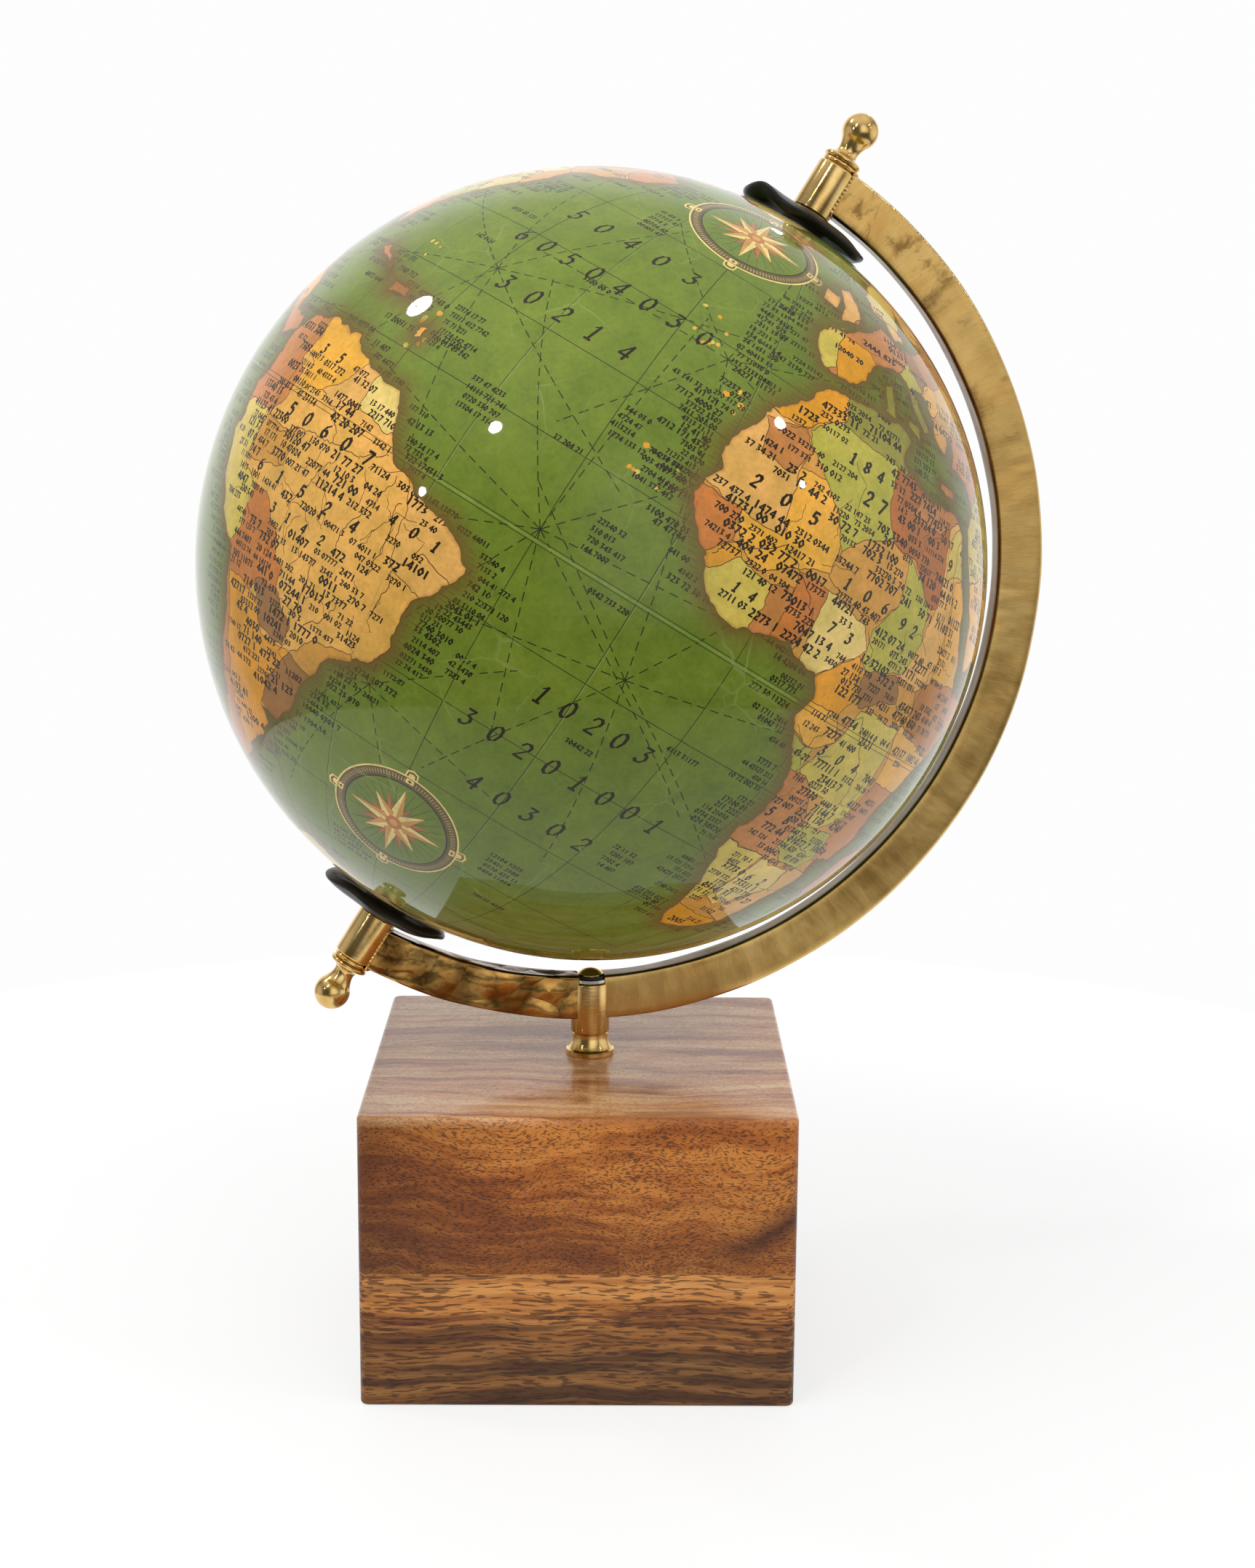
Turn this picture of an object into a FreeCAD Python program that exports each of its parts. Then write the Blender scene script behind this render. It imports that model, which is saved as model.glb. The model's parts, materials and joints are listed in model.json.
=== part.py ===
import FreeCAD, Part
import math
import os

# Desktop globe on a stand.  Millimetres.
# Origin: centre of the block's underside.  +X right, +Y to the back, +Z up.
# The block is square to the axes.  The arm, with the globe in it, stands on one
# bolt and is turned a little about it.  The polar axis leans towards the arm.

V = FreeCAD.Vector
Z_AXIS = V(0, 0, 1)

# ---- driving dimensions ------------------------------------------------------

# block
BLOCK_WIDTH = 110.0
BLOCK_DEPTH = 110.0
UPPER_LAYER = 41.0
LOWER_LAYER = 35.5
BLOCK_CORNER = 2.2          # radius of the four upright edges
BLOCK_EDGE = 1.0            # radius of the edges round the top and the underside

# felt disc let into the underside
FELT_DIAMETER = 44.0
FELT_THICKNESS = 1.5

# stem bolt and its hardware
STEM_X = 2.5                # the bolt's hole, right of the block's centre
BOLT_DIAMETER = 4.0
BOLT_HEAD_DIAMETER = 6.9
BOLT_HEAD_HEIGHT = 1.9
BOLT_HEAD_RIM = 0.4         # upright edge below the dome
BOLT_TAIL = 3.0             # thread below the nut
NUT_FLATS = 7.0
NUT_HEIGHT = 3.2
BASE_WASHER_DIAMETER = 15.0
BASE_WASHER_THICKNESS = 1.2
NUT_WELL_DIAMETER = 20.0
NUT_WELL_DEPTH = 15.0
STEEL_WASHER_INSET = 0.4    # its rim inside the boss's side
STEEL_WASHER_THICKNESS = 0.8
FIBRE_WASHER_INSET = 0.5    # its rim inside the steel washer's
FIBRE_WASHER_THICKNESS = 0.7

# flared collar on the block
COLLAR_FOOT_DIAMETER = 12.8
COLLAR_NECK_DIAMETER = 9.4
COLLAR_BAND = 1.6
COLLAR_HEIGHT = 6.0
COLLAR_COVE = (0.22, 0.42)  # the cove's middle, as shares of its width and height

# globe
GLOBE_DIAMETER = 203.0      # over the printed map
MAP_THICKNESS = 0.28
SHELL_THICKNESS = 2.2
GORE_COUNT = 12
GORE_END_LATITUDE = 83.0
POLE_TILT = 31.8            # polar axis from upright, degrees
MAP_TURN = -77.5            # map longitude 0 from the arm's side, degrees
FIRST_SEAM = -16.0          # map longitude of the first gore's west edge
JOINT_RING_WIDTH = 16.0
JOINT_RING_THICKNESS = 1.8

# pole bushes, inside the globe's two polar holes
BUSH_DIAMETER = 12.0
BUSH_FLANGE_DIAMETER = 20.0
BUSH_FLANGE_THICKNESS = 3.0
BUSH_PROUD = 0.3            # end face above the map
BUSH_TAIL = 4.0             # sleeve inside the flange

# arm, a half ring of flat bar on edge
ARM_TURN = 9.0              # about the stem, degrees, right side to the back
ARM_GAP = 7.0               # map to the inner face of the bar
ARM_WIDTH = 12.0            # radial
ARM_THICKNESS = 7.0
ARM_EDGE = 0.6              # bevel of its four long edges

# turned bosses brazed into the arm
BOSS_DIAMETER = 10.4
BOSS_CHAMFER = 0.5
POLE_BOSS_LENGTH = 13.6
STEM_BOSS_BELOW_ARM = 4.2
STEM_BOSS_SUNK = 1.9        # top face below the bar's inner face

# pole fittings
PIN_DIAMETER = 4.0
PIN_IN_FINIAL = 6.5
PIN_PAST_BUSH = 1.5
PIN_TIP_CHAMFER = 0.6
THRUST_WASHER_DIAMETER = 9.0
THRUST_WASHER_THICKNESS = 0.9
CAP_DIAMETER = 35.6
CAP_RIM_CLEARANCE = 1.0     # map to the cap's inner face
CAP_RIM_THICKNESS = 1.2
CAP_THICKNESS = 3.6         # at its middle
CAP_LAND = 0.8              # flat round the boss
CAP_HOLLOW = 0.35           # dip of the upper side between land and rim

# finial knobs
FINIAL_BEAD_INSET = 0.1     # its side inside the boss's side
FINIAL_BEAD_HEIGHT = 2.8
FINIAL_NECK_DIAMETER = 5.4
FINIAL_BALL_DIAMETER = 9.4
FINIAL_BALL_HEIGHT = 10.6   # boss end to the ball's centre
FINIAL_JOIN_ANGLE = -42.0   # where the neck's curve runs into the ball, from its equator
FINIAL_NECK_PLACE = 0.35    # the narrowest point, as a share of the way from bead to ball

# clearances
RUNNING_FIT = 0.05          # radial, pin in bush and bolt in boss
THREAD_FIT = 0.02           # radial, screwed parts
PASSING_FIT = 0.2           # radial, parts slid over a pin or bolt
WOOD_FIT = 0.5              # radial, bolt through the wood
GLUE_GAP = 0.07             # map to shell, and shell to what is glued in it
BRAZE_GAP = 0.05            # bar to boss
SEAM_GAP = 0.02             # between neighbouring map gores, at each edge

# ---- places worked out from them ---------------------------------------------

block_top = LOWER_LAYER + UPPER_LAYER
collar_top = block_top + COLLAR_HEIGHT
map_radius = GLOBE_DIAMETER / 2
map_inner_radius = map_radius - MAP_THICKNESS
shell_radius = map_inner_radius - GLUE_GAP
shell_inner_radius = shell_radius - SHELL_THICKNESS
arm_inner_radius = map_radius + ARM_GAP
arm_outer_radius = arm_inner_radius + ARM_WIDTH
globe_z = collar_top + STEM_BOSS_BELOW_ARM + arm_outer_radius
stem_boss_top = globe_z - arm_inner_radius - STEM_BOSS_SUNK
bolt_radius = BOLT_DIAMETER / 2
pin_radius = PIN_DIAMETER / 2
boss_radius = BOSS_DIAMETER / 2
steel_washer_radius = boss_radius - STEEL_WASHER_INSET
fibre_washer_radius = steel_washer_radius - FIBRE_WASHER_INSET

# heights along the polar axis, from the globe's centre
bush_face = map_radius + BUSH_PROUD
bush_flange_top = math.sqrt((shell_inner_radius - GLUE_GAP) ** 2 - (BUSH_FLANGE_DIAMETER / 2) ** 2)
bush_end = bush_flange_top - BUSH_FLANGE_THICKNESS - BUSH_TAIL
cap_bottom = bush_face + THRUST_WASHER_THICKNESS
cap_top = cap_bottom + CAP_THICKNESS
pole_boss_end = cap_top + POLE_BOSS_LENGTH
pin_inner_end = bush_end - PIN_PAST_BUSH
pin_outer_end = pole_boss_end + PIN_IN_FINIAL


# ---- building blocks ---------------------------------------------------------

def cylinder(radius, low, high):
    return Part.makeCylinder(radius, high - low, V(0, 0, low))


def tube(radius, bore_radius, low, high):
    return cylinder(radius, low, high).cut(cylinder(bore_radius, low - 1, high + 1))


def turned(edges):
    """A full turn, about Z, of a closed outline drawn in the XZ plane."""
    face = Part.Face(Part.Wire(Part.__sortEdges__(edges)))
    return face.revolve(V(0, 0, 0), Z_AXIS, 360)


def at(radius, height):
    return V(radius, 0, height)


def line(start, end):
    return Part.LineSegment(start, end).toShape()


def arc(start, middle, end):
    return Part.Arc(start, middle, end).toShape()


def path(points):
    """Straight edges through the points, without closing them."""
    return [line(a, b) for a, b in zip(points, points[1:])]


def on_sphere(radius, latitude):
    angle = math.radians(latitude)
    return at(radius * math.cos(angle), radius * math.sin(angle))


def dome(radius, low, high):
    """A spherical cap's edge, from its rim up to the axis."""
    rise = high - low
    sphere = (radius ** 2 + rise ** 2) / (2 * rise)
    half_angle = math.asin(radius / sphere) / 2
    middle = at(sphere * math.sin(half_angle), high - sphere + sphere * math.cos(half_angle))
    return arc(at(radius, low), middle, at(0, high))


def in_arm(shape):
    """From the globe's own frame, polar axis upright, to the part's frame, but not yet turned."""
    shape = shape.copy()
    shape.rotate(V(0, 0, 0), V(0, 1, 0), POLE_TILT)
    return to_stem(shape)


def to_stem(shape):
    """From a frame at the globe's centre to the part's frame, turned with the arm."""
    shape = shape.copy()
    shape.rotate(V(0, 0, 0), Z_AXIS, ARM_TURN)
    shape.translate(V(STEM_X, 0, globe_z))
    return shape


def on_stem(shape):
    shape = shape.copy()
    shape.translate(V(STEM_X, 0, 0))
    return shape


def lower_pole(shape):
    """The same piece at the other pole, turned end for end."""
    shape = shape.copy()
    shape.rotate(V(0, 0, 0), V(0, 1, 0), 180)
    return shape


# ---- block and stem ----------------------------------------------------------

def layer(low, high, rounded_end):
    """One wooden layer, with its upright edges and one end's edges rounded."""
    wood = Part.makeBox(BLOCK_WIDTH, BLOCK_DEPTH, high - low,
                        V(-BLOCK_WIDTH / 2, -BLOCK_DEPTH / 2, low))
    upright = [edge for edge in wood.Edges if edge.BoundBox.ZLength > 1]
    wood = wood.makeFillet(BLOCK_CORNER, upright)
    end = [edge for edge in wood.Edges
           if edge.BoundBox.ZLength < 0.01 and abs(edge.BoundBox.ZMin - rounded_end) < 0.01]
    return wood.makeFillet(BLOCK_EDGE, end)


def base_upper_block():
    hole = on_stem(cylinder(bolt_radius + WOOD_FIT, LOWER_LAYER - 1, block_top + 1))
    return layer(LOWER_LAYER, block_top, block_top).cut(hole)


def base_lower_block():
    wood = layer(0, LOWER_LAYER, 0)
    hole = on_stem(cylinder(bolt_radius + WOOD_FIT, -1, LOWER_LAYER + 1))
    well = on_stem(cylinder(NUT_WELL_DIAMETER / 2, -1, NUT_WELL_DEPTH))
    felt_seat = on_stem(cylinder(FELT_DIAMETER / 2 + PASSING_FIT, -1, FELT_THICKNESS))
    return wood.cut(hole).cut(well).cut(felt_seat)


def base_felt_disc():
    return on_stem(cylinder(FELT_DIAMETER / 2, 0, FELT_THICKNESS))


def stem_collar():
    foot = COLLAR_FOOT_DIAMETER / 2
    neck = COLLAR_NECK_DIAMETER / 2
    bore = bolt_radius + PASSING_FIT
    band_top = block_top + COLLAR_BAND
    out, up = COLLAR_COVE
    cove = at(neck + out * (foot - neck), band_top + up * (collar_top - band_top))
    edges = path([at(neck, collar_top), at(bore, collar_top), at(bore, block_top),
                  at(foot, block_top), at(foot, band_top)])
    edges.append(arc(at(foot, band_top), cove, at(neck, collar_top)))
    return on_stem(turned(edges))


def base_washer():
    low = NUT_WELL_DEPTH - BASE_WASHER_THICKNESS
    return on_stem(tube(BASE_WASHER_DIAMETER / 2, bolt_radius + PASSING_FIT, low, NUT_WELL_DEPTH))


def nut_top():
    return NUT_WELL_DEPTH - BASE_WASHER_THICKNESS


def base_nut():
    across_corners = NUT_FLATS / math.cos(math.radians(30))
    corners = [V(across_corners / 2 * math.cos(math.radians(60 * k)),
                 across_corners / 2 * math.sin(math.radians(60 * k)),
                 nut_top() - NUT_HEIGHT) for k in range(6)]
    outline = Part.makePolygon(corners + corners[:1])
    nut = Part.Face(outline).extrude(V(0, 0, NUT_HEIGHT))
    thread = cylinder(bolt_radius + THREAD_FIT, 0, NUT_WELL_DEPTH)
    return on_stem(nut.cut(thread))


def washer_stack():
    """Heights where the steel washer, the fibre washer and the bolt's head start."""
    steel = stem_boss_top
    fibre = steel + STEEL_WASHER_THICKNESS
    head = fibre + FIBRE_WASHER_THICKNESS
    return steel, fibre, head


def stem_steel_washer():
    low, high = washer_stack()[0], washer_stack()[1]
    return on_stem(tube(steel_washer_radius, bolt_radius + PASSING_FIT, low, high))


def stem_fibre_washer():
    low, high = washer_stack()[1], washer_stack()[2]
    return on_stem(tube(fibre_washer_radius, bolt_radius + PASSING_FIT, low, high))


def stem_bolt():
    head = washer_stack()[2]
    end = nut_top() - NUT_HEIGHT - BOLT_TAIL
    head_radius = BOLT_HEAD_DIAMETER / 2
    edges = path([at(0, head + BOLT_HEAD_HEIGHT), at(0, end), at(bolt_radius, end),
                  at(bolt_radius, head), at(head_radius, head), at(head_radius, head + BOLT_HEAD_RIM)])
    edges.append(dome(head_radius, head + BOLT_HEAD_RIM, head + BOLT_HEAD_HEIGHT))
    return on_stem(turned(edges))


def chamfered_boss(low, high, bore_radius):
    edges = path([at(bore_radius, low), at(boss_radius - BOSS_CHAMFER, low),
                  at(boss_radius, low + BOSS_CHAMFER), at(boss_radius, high - BOSS_CHAMFER),
                  at(boss_radius - BOSS_CHAMFER, high), at(bore_radius, high),
                  at(bore_radius, low)])
    return turned(edges)


def stem_boss():
    boss = chamfered_boss(collar_top, stem_boss_top, bolt_radius + RUNNING_FIT)
    boss.rotate(V(0, 0, 0), Z_AXIS, ARM_TURN)
    return on_stem(boss)


# ---- arm ---------------------------------------------------------------------

def arm_bar(start, end):
    """Flat bar bent about the globe's centre, from one angle to another in its plane."""
    bar = Part.makeBox(ARM_WIDTH, ARM_THICKNESS, 1,
                       V(arm_inner_radius, -ARM_THICKNESS / 2, 0))
    uprights = [edge for edge in bar.Edges if edge.BoundBox.ZLength > 0.5]
    section = [face for face in bar.makeChamfer(ARM_EDGE, uprights).Faces
               if face.BoundBox.ZMax < 0.01][0]
    section.rotate(V(0, 0, 0), V(0, 1, 0), -start)
    return section.revolve(V(0, 0, 0), V(0, 1, 0), start - end)


def boss_space(angle):
    """What a boss and its brazing take out of the bar, on a radius at this angle."""
    space = cylinder(boss_radius + BRAZE_GAP, arm_inner_radius - ARM_WIDTH, arm_outer_radius + ARM_WIDTH)
    space.rotate(V(0, 0, 0), V(0, 1, 0), 90 - angle)
    return space


def arm_section(start, end):
    bar = arm_bar(start, end)
    for angle in (start, end):
        bar = bar.cut(boss_space(angle))
    longest = max(bar.Solids, key=lambda solid: solid.Volume)
    return to_stem(longest)


def arm_main_section():
    return arm_section(-90, 90 - POLE_TILT)


def arm_tail_section():
    return arm_section(-90 - POLE_TILT, -90)


# ---- pole fittings, drawn along the upper half of the polar axis ---------------

def pole_boss():
    return chamfered_boss(cap_top, pole_boss_end, pin_radius + THREAD_FIT)


def pivot_pin():
    edges = path([at(0, pin_outer_end), at(0, pin_inner_end),
                  at(pin_radius - PIN_TIP_CHAMFER, pin_inner_end),
                  at(pin_radius, pin_inner_end + PIN_TIP_CHAMFER), at(pin_radius, pin_outer_end),
                  at(0, pin_outer_end)])
    return turned(edges)


def finial():
    """Bead, neck and ball, turned in one piece, with a blind hole for the pin."""
    bead = boss_radius - FINIAL_BEAD_INSET
    neck = FINIAL_NECK_DIAMETER / 2
    ball = FINIAL_BALL_DIAMETER / 2
    foot = pole_boss_end
    bead_top = foot + FINIAL_BEAD_HEIGHT
    bead_round = FINIAL_BEAD_HEIGHT / 2
    centre = foot + FINIAL_BALL_HEIGHT
    join_angle = math.radians(FINIAL_JOIN_ANGLE)
    join = at(ball * math.cos(join_angle), centre + ball * math.sin(join_angle))
    neck_height = bead_top + FINIAL_NECK_PLACE * (join.z - bead_top)
    neck_point = at(neck, neck_height)
    shoulder = at(bead - bead_round, bead_top)
    profile = Part.BSplineCurve()
    profile.interpolate([shoulder, neck_point, join],
                        InitialTangent=V(-1, 0, 0.25),
                        FinalTangent=V(-math.sin(join_angle), 0, math.cos(join_angle)))
    edges = path([at(0, centre + ball), at(0, foot), at(bead - bead_round, foot)])
    edges.append(arc(at(bead - bead_round, foot), at(bead, foot + bead_round), shoulder))
    edges.append(profile.toShape())
    side = at(ball, centre)
    edges.append(arc(join, side, at(0, centre + ball)))
    hole = cylinder(pin_radius + THREAD_FIT, foot - 1, pin_outer_end + PASSING_FIT)
    return turned(edges).cut(hole)


def pole_cap():
    """A dished disc: spherical underside clear of the map, thin rim, thick flat middle."""
    rim_radius = CAP_DIAMETER / 2
    bore = pin_radius + PASSING_FIT
    inner_sphere = map_radius + CAP_RIM_CLEARANCE
    seat = at(THRUST_WASHER_DIAMETER / 2, cap_bottom)
    rim_low = at(rim_radius, math.sqrt(inner_sphere ** 2 - rim_radius ** 2))
    middle_radius = (seat.x + rim_radius) / 2
    underside = at(middle_radius, math.sqrt(inner_sphere ** 2 - middle_radius ** 2))
    rim_high = rim_low + V(0, 0, CAP_RIM_THICKNESS)
    land = at(boss_radius + CAP_LAND, cap_top)
    crown = (land + rim_high) * 0.5 - V(0, 0, CAP_HOLLOW)
    edges = path([land, at(bore, cap_top), at(bore, cap_bottom), seat])
    edges.append(arc(seat, underside, rim_low))
    edges.append(line(rim_low, rim_high))
    edges.append(arc(rim_high, crown, land))
    return turned(edges)


def thrust_washer():
    return tube(THRUST_WASHER_DIAMETER / 2, pin_radius + PASSING_FIT, bush_face, cap_bottom)


# ---- globe -------------------------------------------------------------------

def pole_bush():
    bore = pin_radius + RUNNING_FIT
    sleeve = BUSH_DIAMETER / 2
    flange = BUSH_FLANGE_DIAMETER / 2
    flange_low = bush_flange_top - BUSH_FLANGE_THICKNESS
    edges = path([at(bore, bush_end), at(sleeve, bush_end), at(sleeve, flange_low),
                  at(flange, flange_low), at(flange, bush_flange_top), at(sleeve, bush_flange_top),
                  at(sleeve, bush_face), at(bore, bush_face), at(bore, bush_end)])
    return turned(edges)


def hemisphere():
    """The upper half of the shell, with its polar hole."""
    hole = BUSH_DIAMETER / 2 + GLUE_GAP
    outer_hole = at(hole, math.sqrt(shell_radius ** 2 - hole ** 2))
    inner_hole = at(hole, math.sqrt(shell_inner_radius ** 2 - hole ** 2))
    edges = [
        line(at(shell_inner_radius, 0), at(shell_radius, 0)),
        arc(at(shell_radius, 0), on_sphere(shell_radius, 45), outer_hole),
        line(outer_hole, inner_hole),
        arc(inner_hole, on_sphere(shell_inner_radius, 45), at(shell_inner_radius, 0)),
    ]
    return turned(edges)


def equator_joint_ring():
    half = JOINT_RING_WIDTH / 2
    outer = math.sqrt(shell_inner_radius ** 2 - half ** 2) - GLUE_GAP
    return in_arm(tube(outer, outer - JOINT_RING_THICKNESS, -half, half))


def map_gore(index):
    """One printed gore, from pole hole to pole hole, numbered eastwards from the first seam."""
    north, south = GORE_END_LATITUDE, -GORE_END_LATITUDE
    edges = [
        line(on_sphere(map_inner_radius, south), on_sphere(map_radius, south)),
        arc(on_sphere(map_radius, south), on_sphere(map_radius, 0), on_sphere(map_radius, north)),
        line(on_sphere(map_radius, north), on_sphere(map_inner_radius, north)),
        arc(on_sphere(map_inner_radius, north), on_sphere(map_inner_radius, 0),
            on_sphere(map_inner_radius, south)),
    ]
    span = 360 / GORE_COUNT
    seam = math.degrees(SEAM_GAP / map_radius)
    face = Part.Face(Part.Wire(Part.__sortEdges__(edges)))
    gore = face.revolve(V(0, 0, 0), Z_AXIS, span - 2 * seam)
    gore.rotate(V(0, 0, 0), Z_AXIS, MAP_TURN + FIRST_SEAM + index * span + seam)
    return in_arm(gore)


# ---- all pieces by name --------------------------------------------------------

pieces = {
    "base_upper_block": base_upper_block(),
    "base_lower_block": base_lower_block(),
    "base_felt_disc": base_felt_disc(),
    "base_washer": base_washer(),
    "base_nut": base_nut(),
    "stem_bolt": stem_bolt(),
    "stem_collar": stem_collar(),
    "stem_steel_washer": stem_steel_washer(),
    "stem_fibre_washer": stem_fibre_washer(),
    "stem_boss": stem_boss(),
    "arm_main_section": arm_main_section(),
    "arm_tail_section": arm_tail_section(),
    "equator_joint_ring": equator_joint_ring(),
}
pole_pieces = {
    "pole_boss": pole_boss(),
    "pivot_pin": pivot_pin(),
    "finial": finial(),
    "pole_cap": pole_cap(),
    "thrust_washer": thrust_washer(),
    "pole_bush": pole_bush(),
    "hemisphere": hemisphere(),
}
for name, piece in pole_pieces.items():
    pieces["north_" + name] = in_arm(piece)
    pieces["south_" + name] = in_arm(lower_pole(piece))
for index in range(GORE_COUNT):
    pieces["map_gore_%02d" % (index + 1)] = map_gore(index)

os.makedirs("parts", exist_ok=True)
for name, piece in pieces.items():
    solids = piece.Solids
    shape = solids[0] if len(solids) == 1 else Part.makeCompound(solids)
    print("%-22s solids %d valid %s volume %.1f" % (name, len(solids), shape.isValid(), shape.Volume))
    shape.exportStep("parts/%s.step" % name)
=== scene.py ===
import bpy
import json
import math
import random
import numpy as np
from mathutils import Matrix, Vector, noise
from mathutils.geometry import delaunay_2d_cdt
from mathutils.kdtree import KDTree


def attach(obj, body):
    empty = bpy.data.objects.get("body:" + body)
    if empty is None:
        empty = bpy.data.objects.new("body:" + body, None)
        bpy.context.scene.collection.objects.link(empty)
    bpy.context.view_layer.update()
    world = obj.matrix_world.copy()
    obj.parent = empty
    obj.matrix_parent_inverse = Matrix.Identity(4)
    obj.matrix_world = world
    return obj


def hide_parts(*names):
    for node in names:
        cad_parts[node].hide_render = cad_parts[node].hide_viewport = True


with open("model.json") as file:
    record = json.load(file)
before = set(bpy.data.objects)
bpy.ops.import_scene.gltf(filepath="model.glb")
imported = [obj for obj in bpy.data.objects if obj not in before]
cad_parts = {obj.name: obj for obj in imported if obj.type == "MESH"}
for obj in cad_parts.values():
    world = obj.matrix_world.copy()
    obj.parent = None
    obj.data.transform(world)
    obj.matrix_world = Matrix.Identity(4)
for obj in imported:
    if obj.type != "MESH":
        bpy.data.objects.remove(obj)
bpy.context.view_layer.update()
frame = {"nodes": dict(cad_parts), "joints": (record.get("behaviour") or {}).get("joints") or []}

# Desktop globe on a stand.  Metres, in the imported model's frame.
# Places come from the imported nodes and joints.  The print on the globe is drawn as
# outlines in map longitude and latitude, and cut into the gores' own meshes.

MM = 0.001

# ---- places in the frame -------------------------------------------------------

joints = {joint["name"]: joint for joint in frame["joints"]}
globe_centre = Vector(joints["globe_spin"]["pos_m"])
pole = Vector(joints["globe_spin"]["axis"]).normalized()
pole_tilt = math.acos(pole.z)
arm_turn = math.atan2(pole.y, pole.x)
stem_axis = Matrix.Translation(Vector(joints["arm_swivel"]["pos_m"]).xy.to_3d())
arm_plane = Matrix.Translation(globe_centre) @ Matrix.Rotation(arm_turn, 4, "Z")
north_end = arm_plane @ Matrix.Rotation(pole_tilt, 4, "Y")
south_end = north_end @ Matrix.Rotation(math.pi, 4, "Y")


def extent(node, place):
    """A node's lowest and highest point along a frame's Z, and its least and greatest distance from it."""
    back = place.inverted()
    points = [back @ vertex.co for vertex in frame["nodes"][node].data.vertices]
    heights = [point.z for point in points]
    reaches = [point.xy.length for point in points]
    return min(heights), max(heights), min(reaches), max(reaches)


def shell_radii(node):
    """The least and greatest distance of a node's points from the globe's centre."""
    distances = [(vertex.co - globe_centre).length for vertex in frame["nodes"][node].data.vertices]
    return min(distances), max(distances)


map_back, map_radius = shell_radii("map_gore_01")
block_joint, block_top = extent("base_upper_block", Matrix.Identity(4))[:2]
arm_inner = shell_radii("arm_main_section")[0]
arm_outer = -extent("arm_main_section", arm_plane)[0]
back_from_plane = arm_plane.inverted()
arm_half_thickness = max(abs((back_from_plane @ vertex.co).y)
                         for vertex in frame["nodes"]["arm_main_section"].data.vertices)

# ---- camera ----------------------------------------------------------------------

CAMERA_PLACE = Vector((0.0076, -0.6415, 0.2763))
CAMERA_DOWN = 0.194
CAMERA_RIGHT = 0.007
CAMERA_ROLL = 0.007
CAMERA_LENS = 56.89


def aimed(place, ahead, roll=0.0):
    """A world matrix that looks along a direction, as cameras and lamps do."""
    ahead = ahead.normalized()
    right = ahead.cross(Vector((0, 0, 1))).normalized()
    up = right.cross(ahead)
    turned_right = math.cos(roll) * right + math.sin(roll) * up
    turned_up = math.cos(roll) * up - math.sin(roll) * right
    columns = Matrix((turned_right, turned_up, -ahead)).transposed()
    return Matrix.Translation(place) @ columns.to_4x4()


camera = bpy.data.objects.new("camera", bpy.data.cameras.new("camera"))
bpy.context.scene.collection.objects.link(camera)
camera.data.lens = CAMERA_LENS
camera.data.sensor_width = 36.0
camera.data.sensor_fit = "AUTO"
camera.data.clip_start = 0.01
camera.matrix_world = aimed(CAMERA_PLACE,
                            Vector((math.sin(CAMERA_RIGHT) * math.cos(CAMERA_DOWN),
                                    math.cos(CAMERA_RIGHT) * math.cos(CAMERA_DOWN),
                                    -math.sin(CAMERA_DOWN))),
                            CAMERA_ROLL)
bpy.context.scene.camera = camera
bpy.context.scene.view_settings.view_transform = "Standard"

# ---- colours and material helpers ------------------------------------------------


def colour(red, green, blue):
    """A linear colour from display values of 0 to 255."""
    def linear(value):
        value /= 255
        return value / 12.92 if value <= 0.04045 else ((value + 0.055) / 1.055) ** 2.4
    return linear(red), linear(green), linear(blue), 1.0


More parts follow.
